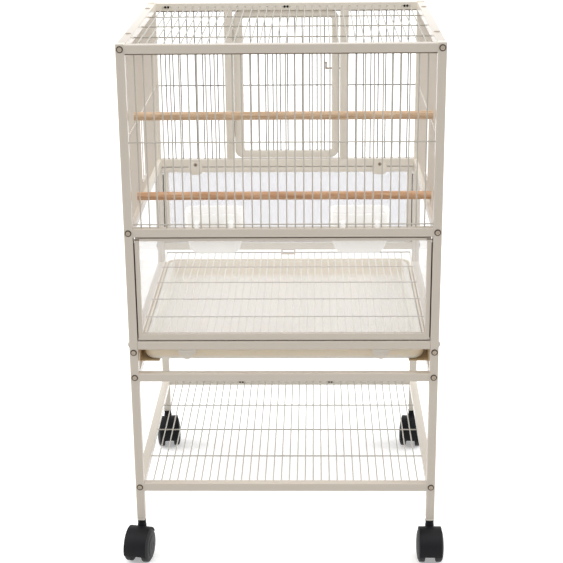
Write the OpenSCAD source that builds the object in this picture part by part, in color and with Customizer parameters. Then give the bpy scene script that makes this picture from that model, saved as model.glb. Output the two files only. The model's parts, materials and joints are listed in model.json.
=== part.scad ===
// Canary breeding cage on a rolling stand, in millimetres.
// The origin is on the floor at the middle of the footprint, +Z is up,
// and the side with the two feed cups and the clear hatch faces -Y.

/* [Cage frame] */
// Width over the posts, left to right
cage_w = 580; // [480:10:700]
// Depth over the posts, front to back
cage_d = 540; // [440:10:660]
// Height of the cage's own posts, without the stand
cage_h = 618; // [560:2:720]
// Width of the square tube
tube = 16; // [13:0.5:18]
// Wall of the square tube
tube_wall = 1.2; // [0.8:0.1:2]
// Rounding of the tube's long edges
tube_round = 1.2; // [0.6:0.1:1.8]

/* [Rail heights above the foot of the cage posts] */
// Underside of the side rails that carry the tray
side_rail_z = 32; // [26:1:36]
// Underside of the front bottom rail
front_rail_z = 46; // [44:1:50]
// Underside of the rear bottom rail, raised so that tray and grate slide out below it
rear_rail_z = 76; // [72:1:90]
// Underside of the middle rails, between clear panes and wire
mid_rail_z = 266; // [240:2:300]

/* [Stand] */
// Height of the top of the stand posts above the floor
stand_h = 392; // [340:2:460]
// How far the stand's top rails sit below the tops of its posts
stand_rail_drop = 3; // [0:1:10]
// Height of the underside of the shelf rails above the floor
shelf_z = 143; // [120:1:180]

/* [Wire] */
// Thickness of the welded wire
wire_d = 2.5; // [2:0.1:3]
// Spacing aimed at between neighbouring wires
wire_pitch = 15.7; // [13:0.1:18]
// How deep two crossing wires are welded into each other
weld = 0.5; // [0.3:0.1:0.8]
// Height of the lowest front cross wire above the middle rail
cup_wire_lift = 7; // [5:0.5:12]
// Number of cross wires under the top grille and the shelf grid
deck_cross_count = 3; // [2:1:5]

/* [Rear door] */
// Width of the doorway between its two jambs
doorway_w = 227; // [180:1:260]
// Width of each jamb tube
jamb_w = 18; // [14:1:22]
// Width of the door's hinge stile
hinge_stile_w = 20; // [14:1:24]
// Width of the door's latch stile
latch_stile_w = 14; // [12:1:20]
// Width of the door's top and bottom rails
door_rail_w = 15; // [12:1:20]
// Thickness of the door frame
door_t = 12; // [8:1:14]
// Rounding of the door's outer corners
door_round = 16; // [8:1:24]
// Gap at the hinge side and above the door
door_gap = 1; // [0.6:0.1:2]
// Gap at the latch side
latch_gap = 3.4; // [2:0.2:5]
// Gap under the door
door_sill_gap = 3; // [1:0.5:5]

/* [Hinges and latch] */
// Diameter of the hinge pins
pin_d = 4; // [3:0.5:5]
// Radial clearance of a pin or shaft in its hole
pin_fit = 0.05; // [0.03:0.01:0.08]
// Outer diameter of the hinge barrels
barrel_d = 8; // [7:0.5:10]
// Length of one hinge barrel
barrel_l = 16; // [12:1:24]
// Distance of each hinge from the door's end
hinge_inset = 60; // [40:2:90]
// Diameter of the sliding latch bolt
bolt_rod_d = 4; // [3:0.5:5]
// Travel of the latch bolt
bolt_travel = 10; // [8:1:14]
// Height of the latch above the middle of the door
latch_rise = 34; // [0:2:60]

/* [Front hatch] */
// Depth of the hatch's frame section, front to back
hatch_depth = 10; // [8:1:12]
// Height of the hatch's top bar
hatch_head = 5; // [4:0.5:8]
// Width of the hatch's two stiles
hatch_stile = 7.5; // [6:0.5:10]
// Height of the hatch's foot bar
hatch_foot = 11.5; // [8:0.5:16]
// Wall of the hatch's frame section
hatch_wall = 1.2; // [0.8:0.1:1.6]
// Gap between the hatch and the posts, and under the middle rail
hatch_gap = 2.5; // [2.3:0.1:4]
// Gap under the hatch
hatch_sill_gap = 3; // [2:0.5:6]
// How far the hatch is set back from the front faces
hatch_setback = 2; // [1:0.5:4]
// Diameter of the hatch's two hinge pins
hatch_pin_d = 3; // [2.5:0.5:4]
// Thickness of the clear panes
pane_t = 2; // [1.5:0.1:3]

/* [Feeder doors in the sides] */
// Number of side wires left out of each opening, counted as whole wire gaps each way from the middle
feeder_half_gaps = 2; // [1:1:3]
// Height of the opening's sill above the middle rail
feeder_sill = 26; // [20:1:40]
// Height of the opening
feeder_h = 136; // [110:2:150]

/* [Tray and grate] */
// Height of the tray
tray_h = 46; // [28:1:50]
// Wall of the tray
tray_wall = 2.5; // [2:0.1:4]
// Width of the turned-out lip round the tray
tray_lip = 3; // [3:0.5:8]
// Rounding of the tray's corners
tray_corner = 22; // [18:1:40]
// Rounding of the tray's lower edge
tray_edge = 13; // [6:1:16]
// Gap between the tray's lip and the runners at each side
tray_side_gap = 6; // [5:0.5:16]
// Distance of each tray stop's middle from the inside of the post
stop_inset = 91; // [60:1:130]
// Width of the runner's shelf
runner_w = 38; // [30:1:50]
// Thickness of the runner's sheet
runner_t = 1.5; // [1.2:0.1:2.5]
// Distance of the runners' front ends behind the front posts
runner_inset = 6; // [2:1:20]
// Spacing aimed at between the grate's long wires
grate_pitch = 14.7; // [12:0.1:18]
// Spacing between each border wire of the grate and the wire next to it
grate_border_gap = 19.4; // [12:0.2:24]
// Gap between the grate and the posts at each side
grate_side_gap = 3; // [2:0.5:8]

/* [Rear pane] */
// Height of the folded strip along the pane's top edge
strip_h = 11; // [8:1:14]
// Distance of each turn tab's screw from the inside of the post
tab_inset = 74; // [50:1:120]

/* [Perches] */
// Diameter of the perches
perch_d = 16; // [12:0.5:20]
// Distance of the perches from the front face, rounded to the nearest side wire
perch_y = 160; // [70:5:180]
// Height of the lower perch above the middle rail
perch_low = 19; // [15:1:60]
// Height of the upper perch above the middle rail
perch_high = 175; // [150:1:230]

/* [Feed cups] */
// Width of a cup's rim
cup_w = 106; // [80:2:120]
// Depth of a cup's rim, front to back
cup_d = 46; // [36:1:56]
// Height of a cup
cup_h = 78; // [60:1:90]
// Wall of a cup
cup_wall = 1.6; // [1.2:0.1:2.4]
// Height of a cup's rim above the middle rail
cup_rim = 28; // [22:1:36]
// Places of the cups, counted in front wire gaps from the middle
cup_places = [-8, 9];

/* [Casters] */
// Diameter of the wheels
wheel_d = 65; // [50:1:75]
// Width over both wheels of one caster
caster_w = 52; // [46:1:60]
// Width of the caster's hood
hood_w = 40; // [30:1:44]
// Height of the caster up to the foot of the stand post's plug
caster_h = 79; // [74:1:96]
// Distance of the wheel axle from the swivel axis
trail = 20; // [16:1:24]
// Diameter of the caster's stem
stem_d = 8; // [6:0.5:9]
// Directions of the four casters, front left, front right, rear left and rear right
caster_turn = [-11, 0, 9, -8];

/* [Fasteners] */
// Diameter of the frame bolts
bolt_d = 6; // [5:0.5:7]
// Diameter of the frame bolts' heads
bolt_head_d = 12.5; // [9:0.5:13]
// Height of the frame bolts' heads
bolt_head_h = 2.4; // [1.8:0.1:3.2]
// Distance of the front screw on top of each side rail from the front face
top_screw_front = 124; // [60:2:200]
// Distance of the rear screw on top of each side rail from the rear face
top_screw_back = 92; // [60:2:200]
// Diameter of the heads of those screws
top_screw_d = 11; // [7:0.5:12]

/* [Hidden] */
$fn = 32;

cream = "#d9d0c0";
clear_plastic = "#eef2f4";
tray_cream = "#efe3c4";
wood = "#c79a6e";
cup_white = "#f1efe9";
black_plastic = "#26262a";
dark_steel = "#5c554d";
grey_plastic = "#d5d2cc";

// Clearances
seat_gap = 0.3;
slide_gap = 0.3;
hole_slack = 0.25;
touch_gap = 0.02;

// Planes and spans of the frame
half_w = cage_w / 2;
half_d = cage_d / 2;
post_x = half_w - tube / 2;
post_y = half_d - tube / 2;
inner_w = cage_w - 2 * tube;
inner_d = cage_d - 2 * tube;
bore_w = tube - 2 * tube_wall;
cage_top = stand_h + cage_h;
mid_low = stand_h + mid_rail_z;
mid_top = mid_low + tube;
top_low = cage_top - tube;
side_low = stand_h + side_rail_z;
front_low = stand_h + front_rail_z;
front_top = front_low + tube;
rear_low = stand_h + rear_rail_z;
stand_rail_low = stand_h - stand_rail_drop - tube;
wire_step = wire_d - weld;
cross_z = (mid_top + top_low) / 2;

// Posts of the stand and the plugs that hold the caster stems
plug_flange = 4;
plug_l = 30;
stand_foot = caster_h + plug_flange;
spigot_l = 24;
cap_t = 1.5;

// Bolts: Z levels of those that run front to back into the side rails
bolt_levels_cage = [side_low + tube / 2, mid_low + tube / 2, top_low + tube / 2];
bolt_levels_stand = [shelf_z + tube / 2, stand_rail_low + tube / 2];
bolt_reach = 12;
block_l = 14;
bolt_hole_d = bolt_d + 2 * hole_slack;
cap_plug_l = tube / 2 - bolt_hole_d / 2 - 1;

// Rear door
door_low = mid_top + door_sill_gap;
door_high = top_low - door_gap;
door_left = -doorway_w / 2 + door_gap;
door_right = doorway_w / 2 - latch_gap;
door_y = half_d - 1 - door_t;
hinge_x = -doorway_w / 2 + door_gap / 2;
hinge_y = half_d + barrel_d / 2 + seat_gap;
hinge_levels = [door_low + hinge_inset, door_high - hinge_inset];
leaf_t = 2;
leaf_l = 12;

// Latch bolt, drawn back at rest so that the door is free
latch_z = cross_z + latch_rise;
eye_d = bolt_rod_d + 5;
eye_w = 5;
latch_y = half_d + eye_d / 2 + seat_gap;
keeper_x = doorway_w / 2 + jamb_w / 2;
thumb_d = bolt_rod_d - 0.6;
thumb_play = 1;
outer_eye_x = door_right - eye_w / 2 - 0.5;
inner_eye_x = door_right - latch_stile_w + eye_w / 2 + 0.5;
thumb_x = inner_eye_x - eye_w / 2 - thumb_play - thumb_d / 2 - bolt_travel;
latch_tip = keeper_x + eye_w / 2 + 2 - bolt_travel;

// Front hatch
hatch_low = front_top + hatch_sill_gap;
hatch_high = mid_low - hatch_gap;
hatch_w = inner_w - 2 * hatch_gap;
hatch_y = -half_d + hatch_setback;
hatch_pin_y = hatch_y + hatch_depth / 2;
hatch_pin_z = hatch_high - hatch_depth / 2;
hatch_pin_l = hatch_gap + tube_wall + 1.5;

// Side wires stand at whole gaps from the middle, so that the feeder openings end on wires
side_gaps = 2 * round(inner_d / 2 / wire_pitch);
side_pitch = inner_d / side_gaps;
feeder_half_w = feeder_half_gaps * side_pitch;
feeder_low = mid_top + feeder_sill;
feeder_high = feeder_low + feeder_h;
guide_x = post_x + 4.9;
guide_y = feeder_half_w + 3.5;
feeder_eye_d = 6;
feeder_eye_l = 6;
feeder_rest = feeder_high + feeder_eye_l / 2 + 1;
feeder_door_h = min(feeder_h + 2, top_low - feeder_rest - feeder_eye_l);

// Tray, its runners and the grate that lies on the tray's lip
lip_top = front_top + 0.4;
tray_low = lip_top - tray_h;
lip_t = 2;
tray_half_w = inner_w / 2 - runner_t - tray_side_gap;
tray_front = -half_d + tube + 5;
tray_back = half_d - 2 * tube;
grate_z = lip_top + slide_gap + wire_d / 2;
grate_cross_z = grate_z + wire_d + touch_gap;
grate_front = -half_d + tube + 3;
grate_back = half_d - 4;
grate_gaps = 5;
loop_out = 12;
loop_in = 20;
loop_w = 28;
loop_d = 3.2;

// Perches
perch_wire = round((half_d - perch_y) / side_pitch);
perch_line = -perch_wire * side_pitch;
perch_half = post_x + 0.5;
notch_w = wire_d + 2 * seat_gap + 0.4;

// Front wires, and the middle of a wire gap counted from the middle of the front
front_gaps = round(inner_w / wire_pitch);
front_pitch = inner_w / front_gaps;
function gap_mid(i) = (i + (front_gaps % 2 == 0 ? 0.5 : 0)) * front_pitch;

// Feed cups
cup_hook_gaps = 2;
cup_top = mid_top + cup_rim;
cup_front = -half_d + tube + 0.5;
cup_hook_w = 8;
cup_hook_t = 3;
cup_wire_z = mid_top + cup_wire_lift;
cup_wire_y = -post_y - wire_step;

// Turn tabs
tab_w = 30;
tab_l = 28;
tab_t = 2;
tab_x = inner_w / 2 - tab_inset;
tab_pivot = mid_low + 5;
tab_screw_d = 4;

// Casters
wheel_r = wheel_d / 2;
hood_out = wheel_r + 4;
hood_in = wheel_r + 1.5;
web_w = 14;
neck_d = 16;
axle_d = 6;
web_lift = 10;
hood_back = 30;
hood_front = 225;

// Outline of a rectangle centred on the origin, with rounded corners
function round_rect(w, d, r, n = 3) = [
    for (corner = [0:3], step = [0:n])
        let (a = 90 * corner + 90 * step / n,
             sx = (corner == 0 || corner == 3) ? 1 : -1,
             sy = (corner < 2) ? 1 : -1)
        [sx * (w / 2 - r) + r * cos(a), sy * (d / 2 - r) + r * sin(a)]
];

// Places of evenly spaced wires between two faces
function spaced(a, b, pitch) =
    let (n = max(2, round((b - a) / pitch)))
    [for (i = [1:n - 1]) a + i * (b - a) / n];

// Square tube standing on z = 0
module tube_z(l, w = tube) {
    linear_extrude(l) difference() {
        polygon(round_rect(w, tube, tube_round));
        square([w - 2 * tube_wall, bore_w], center = true);
    }
}

// Rail along X between two posts, its underside at z
module rail_x(y, z, l = inner_w) {
    translate([-l / 2, y, z + tube / 2]) rotate([0, 90, 0]) tube_z(l);
}

// Rail along Y between two posts, with a threaded block in each end
module rail_y(x, z) {
    translate([x, -inner_d / 2, z + tube / 2]) rotate([-90, 0, 0]) difference() {
        union() {
            tube_z(inner_d);
            for (end = [0, inner_d - block_l]) translate([-bore_w / 2, -bore_w / 2, end])
                cube([bore_w, bore_w, block_l]);
        }
        for (end = [-1, inner_d - block_l - 1]) translate([0, 0, end])
            cylinder(h = block_l + 2, d = bolt_d + 2 * pin_fit);
    }
}

// Rail along X with a threaded block in each end, for the bolts that come in from the sides
module rail_x_bolted(y, z) {
    translate([-inner_w / 2, y, z + tube / 2]) rotate([0, 90, 0]) difference() {
        union() {
            tube_z(inner_w);
            for (end = [0, inner_w - block_l]) translate([-bore_w / 2, -bore_w / 2, end])
                cube([bore_w, bore_w, block_l]);
        }
        for (end = [-1, inner_w - block_l - 1]) translate([0, 0, end])
            cylinder(h = block_l + 2, d = bolt_d + 2 * pin_fit);
    }
}

// Straight wires of eight sides, with flats towards the wires that they cross
module wire_z(x, y, z0, z1, d = wire_d) {
    translate([x, y, z0]) rotate([0, 0, 22.5])
        cylinder(h = z1 - z0, d = d / cos(22.5), $fn = 8);
}
module wire_x(x0, x1, y, z, d = wire_d) {
    translate([x0, y, z]) rotate([0, 90, 0]) rotate([0, 0, 22.5])
        cylinder(h = x1 - x0, d = d / cos(22.5), $fn = 8);
}
module wire_y(x, y0, y1, z, d = wire_d) {
    translate([x, y0, z]) rotate([-90, 0, 0]) rotate([0, 0, 22.5])
        cylinder(h = y1 - y0, d = d / cos(22.5), $fn = 8);
}

// Cage post: a tube drilled for the bolts that hold the side rails
module cage_post(side, end) {
    bottom_z = (end < 0 ? front_low : rear_low) + tube / 2;
    color(cream) difference() {
        translate([side * post_x, end * post_y, stand_h]) tube_z(cage_h);
        for (z = bolt_levels_cage)
            translate([side * post_x, end * post_y - tube, z]) rotate([-90, 0, 0])
                cylinder(h = 2 * tube, d = bolt_hole_d);
        translate([side * post_x - tube, end * post_y, bottom_z]) rotate([0, 90, 0])
            cylinder(h = 2 * tube, d = bolt_hole_d);
        if (end < 0) translate([side * inner_w / 2 - tube_wall - 1, hatch_pin_y, hatch_pin_z])
            rotate([0, 90, 0]) cylinder(h = 2 * tube_wall + 2, d = hatch_pin_d + 2 * pin_fit);
    }
}

// Stand post: a drilled tube with a spigot on top that the cage post drops over
module stand_post(side, end) {
    spigot_w = bore_w - 2 * seat_gap;
    color(cream) difference() {
        translate([side * post_x, end * post_y, stand_foot]) union() {
            tube_z(stand_h - stand_foot);
            translate([0, 0, stand_h - stand_foot - spigot_l]) linear_extrude(spigot_l)
                square(bore_w, center = true);
            translate([0, 0, stand_h - stand_foot - 1]) linear_extrude(spigot_l + 1)
                square(spigot_w, center = true);
        }
        for (z = bolt_levels_stand)
            translate([side * post_x, end * post_y - tube, z]) rotate([-90, 0, 0])
                cylinder(h = 2 * tube, d = bolt_hole_d);
    }
}

module side_rails(z) { color(cream) for (side = [-1, 1]) rail_y(side * post_x, z); }

// Front grille: uprights with one cross wire at mid height and one that the cups hang on
module grille_front() {
    color(cream) union() {
        for (x = spaced(-inner_w / 2, inner_w / 2, wire_pitch)) wire_z(x, -post_y, mid_top, top_low);
        for (z = [cup_wire_z, cross_z]) wire_x(-inner_w / 2, inner_w / 2, cup_wire_y, z);
    }
}

// Side grille with a feeder opening in the middle and two guide wires for its door
module grille_side(side) {
    color(cream) union() {
        for (i = [1 - side_gaps / 2:side_gaps / 2 - 1]) {
            y = i * side_pitch;
            if (abs(i) < feeder_half_gaps) {
                wire_z(side * post_x, y, mid_top, feeder_low + wire_d / 2);
                wire_z(side * post_x, y, feeder_high - wire_d / 2, top_low);
            } else wire_z(side * post_x, y, mid_top, top_low);
        }
        wire_y(side * (post_x - wire_step), -feeder_half_w - wire_d, feeder_half_w + wire_d, feeder_low);
        wire_y(side * (post_x - wire_step), -inner_d / 2, inner_d / 2, feeder_high);
        for (end = [-1, 1]) wire_z(side * guide_x, end * guide_y, mid_top, top_low);
    }
}

// Rear grille beside the doorway
module grille_rear(side) {
    a = doorway_w / 2 + jamb_w;
    b = inner_w / 2;
    color(cream) union() {
        for (x = spaced(a, b, wire_pitch)) wire_z(side * x, post_y, mid_top, top_low);
        wire_x(side > 0 ? a : -b, side > 0 ? b : -a, post_y + wire_step, cross_z);
    }
}

// Deck of wires front to back with cross wires under them
module deck(z) {
    color(cream) union() {
        for (x = spaced(-inner_w / 2, inner_w / 2, wire_pitch)) wire_y(x, -inner_d / 2, inner_d / 2, z);
        for (y = spaced(-inner_d / 2, inner_d / 2, inner_d / (deck_cross_count + 1)))
            wire_x(-inner_w / 2, inner_w / 2, y, z - wire_step);
    }
}

// Two jambs; the left one carries the hinge pins, the right one the latch's keeper
module door_jambs() {
    color(cream) {
        union() {
            translate([-doorway_w / 2 - jamb_w / 2, post_y, mid_top]) tube_z(top_low - mid_top, jamb_w);
            for (z = hinge_levels) {
                translate([hinge_x - leaf_l, half_d - 0.4, z - barrel_l])
                    cube([leaf_l - barrel_d / 2 + 1, leaf_t + 0.4, barrel_l]);
                translate([hinge_x - barrel_d / 2 - 1, half_d + 0.2, z - barrel_l])
                    cube([3, barrel_d / 2, barrel_l]);
                translate([hinge_x, hinge_y, z - barrel_l]) {
                    cylinder(h = barrel_l, d = barrel_d);
                    cylinder(h = 2 * barrel_l - 2, d = pin_d);
                }
            }
        }
        difference() {
            union() {
                translate([doorway_w / 2 + jamb_w / 2, post_y, mid_top])
                    tube_z(top_low - mid_top, jamb_w);
                translate([keeper_x - eye_w / 2, latch_y, latch_z]) rotate([0, 90, 0])
                    cylinder(h = eye_w, d = eye_d);
                translate([keeper_x - eye_w / 2, half_d - 0.4, latch_z - 2])
                    cube([eye_w, eye_d / 2 + 0.4, 4]);
            }
            translate([keeper_x - eye_w, latch_y, latch_z]) rotate([0, 90, 0])
                cylinder(h = 2 * eye_w, d = bolt_rod_d + 1);
        }
    }
}

// Door frame with rounded corners, its wires, the hinge barrels and the eyes of the latch
module rear_door() {
    w = door_right - door_left;
    h = door_high - door_low;
    cx = (door_left + door_right) / 2;
    cz = (door_low + door_high) / 2;
    in_left = door_left + hinge_stile_w;
    in_right = door_right - latch_stile_w;
    wire_plane = door_y + door_t / 2;
    color(cream) difference() {
        union() {
            translate([cx, door_y + door_t, cz]) rotate([90, 0, 0]) linear_extrude(door_t) difference() {
                polygon(round_rect(w, h, door_round, 6));
                translate([(in_left + in_right) / 2 - cx, 0])
                    polygon(round_rect(in_right - in_left, h - 2 * door_rail_w, 4, 3));
            }
            for (x = spaced(in_left, in_right, wire_pitch))
                wire_z(x, wire_plane, door_low + door_rail_w - 1, door_high - door_rail_w + 1);
            wire_x(in_left - 1, in_right + 1, wire_plane + wire_step, cross_z);
            for (z = hinge_levels) {
                translate([hinge_x + barrel_d / 2 - 1, door_y + door_t - 0.4, z + seat_gap])
                    cube([leaf_l, leaf_t + 1.4, barrel_l]);
                translate([hinge_x + barrel_d / 2 - 2, half_d + 0.2, z + seat_gap])
                    cube([3, barrel_d / 2, barrel_l]);
                translate([hinge_x, hinge_y, z + seat_gap]) cylinder(h = barrel_l, d = barrel_d);
            }
            for (x = [inner_eye_x, outer_eye_x]) latch_eye(x);
        }
        for (z = hinge_levels) translate([hinge_x, hinge_y, z - 1])
            cylinder(h = barrel_l + 3, d = pin_d + 2 * pin_fit);
        translate([inner_eye_x - eye_w, latch_y, latch_z]) rotate([0, 90, 0])
            cylinder(h = outer_eye_x - inner_eye_x + 2 * eye_w, d = bolt_rod_d + 2 * pin_fit);
    }
}

// Eye on the latch stile that the bolt slides in
module latch_eye(x) {
    translate([x - eye_w / 2, latch_y, latch_z]) rotate([0, 90, 0]) cylinder(h = eye_w, d = eye_d);
    translate([x - eye_w / 2, door_y + door_t - 0.4, latch_z - 2])
        cube([eye_w, half_d - door_y - door_t + eye_d / 2 + 0.4, 4]);
}

// Latch bolt whose inner end turns up as a thumb piece
module door_latch() {
    thumb_h = 12;
    color(cream) union() {
        translate([thumb_x, latch_y, latch_z]) rotate([0, 90, 0])
            cylinder(h = latch_tip - thumb_x, d = bolt_rod_d);
        translate([thumb_x, latch_y, latch_z]) cylinder(h = thumb_h, d = thumb_d);
        translate([thumb_x, latch_y, latch_z]) sphere(d = bolt_rod_d);
        translate([thumb_x, latch_y, latch_z + thumb_h]) sphere(d = bolt_rod_d + 1);
    }
}

// Hatch frame: a channel that is open outwards, with a pin at each top corner
module hatch_frame() {
    h = hatch_high - hatch_low;
    cz = (hatch_high + hatch_low) / 2;
    in_w = hatch_w - 2 * hatch_stile;
    in_h = h - hatch_head - hatch_foot;
    in_z = (hatch_foot - hatch_head) / 2;
    color(cream) union() {
        difference() {
            translate([0, hatch_y + hatch_depth, cz]) rotate([90, 0, 0]) linear_extrude(hatch_depth)
                difference() {
                    polygon(round_rect(hatch_w, h, 2));
                    translate([0, in_z]) square([in_w, in_h], center = true);
                }
            translate([0, hatch_y + hatch_depth - hatch_wall, cz]) rotate([90, 0, 0])
                linear_extrude(hatch_depth - 2 * hatch_wall) difference() {
                    square([hatch_w + 2, h + 2], center = true);
                    translate([0, in_z])
                        square([in_w + 2 * hatch_wall, in_h + 2 * hatch_wall], center = true);
                }
        }
        for (side = [-1, 1]) {
            translate([side * (hatch_w / 2 - hatch_stile / 2), hatch_pin_y, hatch_pin_z])
                cube([hatch_stile - hatch_wall, hatch_depth - hatch_wall, hatch_depth - hatch_wall],
                     center = true);
            translate([side > 0 ? hatch_w / 2 - hatch_wall : -hatch_w / 2 - hatch_pin_l, hatch_pin_y,
                       hatch_pin_z])
                rotate([0, 90, 0]) cylinder(h = hatch_pin_l + hatch_wall, d = hatch_pin_d);
        }
    }
}

// Clear pane that fills the hatch frame edge to edge
module hatch_pane() {
    color(clear_plastic, 0.35) translate([-hatch_w / 2 + hatch_stile, hatch_pin_y - pane_t / 2,
                                          hatch_low + hatch_foot])
        cube([hatch_w - 2 * hatch_stile, pane_t, hatch_high - hatch_low - hatch_head - hatch_foot]);
}

// Rear pane with a folded strip along its top edge
module rear_pane() {
    low = rear_low + tube;
    color(clear_plastic, 0.35) union() {
        translate([-inner_w / 2 + seat_gap, post_y - pane_t / 2, low])
            cube([inner_w - 2 * seat_gap, pane_t, mid_low - seat_gap - low]);
        translate([-inner_w / 2 + seat_gap, post_y - tube / 2 + seat_gap, mid_low - strip_h - 2])
            cube([inner_w - 2 * seat_gap, tube / 2 + pane_t / 2, strip_h]);
    }
}

module side_panes() {
    low = side_low + tube;
    color(clear_plastic, 0.35) for (side = [-1, 1])
        translate([side * post_x - pane_t / 2, -inner_d / 2 + seat_gap, low])
            cube([pane_t, inner_d - 2 * seat_gap, mid_low - seat_gap - low]);
}

// Turn tab that holds the rear pane's top edge; it hangs from its screw
module turn_tab(side) {
    color(cream) translate([side * tab_x, post_y - tube / 2 - seat_gap, tab_pivot])
        rotate([90, 0, 0]) difference() {
            linear_extrude(tab_t) translate([0, tab_l / 2 - tab_l + 5])
                polygon(round_rect(tab_w, tab_l, 9, 5));
            translate([0, 0, -1]) cylinder(h = tab_t + 2, d = tab_screw_d + 2 * pin_fit);
        }
}

// One rounded tray shape, drawn in from its full size by inset and standing on z
module tray_body(inset, z, top) {
    r = tray_edge - inset;
    x = tray_half_w - tray_lip - inset;
    corner = tray_corner - inset;
    hull() {
        for (sx = [-1, 1], y = [tray_front + tray_lip + inset + corner,
                                tray_back - tray_lip - inset - corner])
            translate([sx * (x - corner), y, 0]) {
                translate([0, 0, z]) cylinder(h = 0.1, r = corner - r);
                translate([0, 0, z + 0.3 * r]) cylinder(h = 0.1, r = corner - 0.3 * r);
                translate([0, 0, z + r]) cylinder(h = top - z - r, r = corner);
            }
    }
}

// Pull-out tray with a turned-out lip
module tray() {
    color(tray_cream) difference() {
        union() {
            tray_body(0, tray_low, lip_top);
            translate([0, (tray_front + tray_back) / 2, lip_top - lip_t]) linear_extrude(lip_t)
                polygon(round_rect(2 * tray_half_w, tray_back - tray_front, tray_corner, 8));
        }
        tray_body(tray_wall, tray_low + tray_wall, lip_top + 1);
    }
}

// Angle runners that the tray slides on, fixed to the insides of posts and side rails
module tray_runners() {
    shelf_top = tray_low - slide_gap;
    flange_top = front_low - seat_gap;
    back = half_d - 2;
    color(cream) for (side = [-1, 1]) translate([side * inner_w / 2, back, 0])
        rotate([90, 0, 0]) linear_extrude(back + inner_d / 2 - runner_inset) polygon([
            [0, shelf_top - runner_t], [0, flange_top], [-side * runner_t, flange_top],
            [-side * runner_t, shelf_top], [-side * runner_w, shelf_top],
            [-side * runner_w, shelf_top - runner_t]
        ]);
}

// Tongues under the front bottom rail that stop the tray
module tray_stops() {
    tongue_h = front_low - tray_low - 5;
    tongue_w = 34;
    tip_r = 10;
    shoulder_h = 13;
    tip = [for (i = [0:8]) let (a = 200 + i * 140 / 8) [tip_r * cos(a), tip_r + tip_r * sin(a)]];
    color(grey_plastic) for (side = [-1, 1])
        translate([side * (inner_w / 2 - stop_inset), -half_d + tube - 1, front_low - tongue_h])
            rotate([90, 0, 0]) linear_extrude(2) polygon(concat(
                [[tongue_w / 2, shoulder_h], [tongue_w / 2, tongue_h], [-tongue_w / 2, tongue_h],
                 [-tongue_w / 2, shoulder_h]], tip));
}

// Grate: long wires that lie on the tray's lip, cross wires laid on them and a pull loop behind
module grate() {
    border = inner_w / 2 - grate_side_gap - wire_d / 2;
    next = border - grate_border_gap;
    cross = [for (i = [0:grate_gaps]) grate_front + wire_d / 2 +
             i * (grate_back - grate_front - wire_d) / grate_gaps];
    loop_z = grate_cross_z + wire_d / 2 + touch_gap;
    color(cream) {
        for (x = concat([-border, -next], spaced(-next, next, grate_pitch), [next, border]))
            wire_y(x, grate_front, grate_back, grate_z);
        for (y = cross) wire_x(-border - wire_d / 2, border + wire_d / 2, y, grate_cross_z);
        union() {
            for (side = [-1, 1]) wire_y(side * loop_w / 2, grate_back - loop_in - wire_d, grate_back + loop_out,
                                        loop_z + loop_d / 2, loop_d);
            for (y = [grate_back - loop_in, grate_back + loop_out])
                wire_x(-loop_w / 2 - loop_d / 2, loop_w / 2 + loop_d / 2, y, loop_z + loop_d / 2, loop_d);
        }
    }
}

// Perch whose slotted ends stand over an upright of each side grille
module perch(lift) {
    slot_bottom = post_x - wire_d / 2 - seat_gap;
    color(wood) translate([0, perch_line, mid_top + lift]) difference() {
        translate([-perch_half, 0, 0]) rotate([0, 90, 0]) cylinder(h = 2 * perch_half, d = perch_d);
        for (side = [-1, 1]) translate([side * (slot_bottom + perch_d / 2), 0, 0])
            cube([perch_d, notch_w, 2 * perch_d], center = true);
    }
}

// One cup shape: full at the rim, drawn in towards a rounded foot, flat at the front
module cup_body(inset, z, top) {
    levels = [[0, 20, 14], [7, 12, 12], [24, 5, 12], [top - z - 1, 0, 13]];
    hull() for (level = levels)
        translate([0, (cup_d - level[1]) / 2, z + level[0]]) linear_extrude(1)
            polygon(round_rect(cup_w - 1.3 * level[1] - 2 * inset, cup_d - level[1] - 2 * inset,
                               level[2] - inset, 6));
}

// Feed cup with a rim bead and two hooks over the lowest front cross wire
module feed_cup(place) {
    low = cup_top - cup_h;
    color(cup_white) translate([gap_mid(place), 0, 0]) union() {
        difference() {
            translate([0, cup_front, 0]) cup_body(0, low, cup_top);
            translate([0, cup_front, 0]) cup_body(cup_wall, low + cup_wall, cup_top + 2);
        }
        for (side = [-1, 1])
            translate([side * cup_hook_gaps * front_pitch - cup_hook_w / 2, 0, 0]) {
            translate([0, cup_wire_y - wire_d / 2 - cup_hook_t, cup_wire_z + wire_d / 2 + seat_gap])
                cube([cup_hook_w, cup_front - cup_wire_y + wire_d / 2 + cup_hook_t + 1, cup_hook_t]);
            translate([0, cup_wire_y - wire_d / 2 - cup_hook_t, mid_top + seat_gap])
                cube([cup_hook_w, cup_hook_t - seat_gap, cup_wire_lift + wire_d / 2 + 1]);
        }
    }
}

// Feeder door: a small wire panel with eyes at its corners that ride on the guide wires
module feeder_door(side) {
    bars = 4;
    half = guide_y - feeder_eye_d / 2;
    color(cream) difference() {
        union() {
            for (z = [feeder_rest, feeder_rest + feeder_door_h]) {
                wire_y(side * guide_x, -guide_y, guide_y, z);
                for (end = [-1, 1]) translate([side * guide_x, end * guide_y, z - feeder_eye_l / 2])
                    cylinder(h = feeder_eye_l, d = feeder_eye_d);
            }
            for (i = [0:bars])
                wire_z(side * (guide_x + wire_step), -half + 1.5 + i * (2 * half - 3) / bars,
                       feeder_rest - wire_d / 2, feeder_rest + feeder_door_h + wire_d / 2);
        }
        for (end = [-1, 1]) translate([side * guide_x, end * guide_y, feeder_rest - feeder_eye_l])
            cylinder(h = feeder_door_h + 2 * feeder_eye_l, d = wire_d + 0.9);
    }
}

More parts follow.
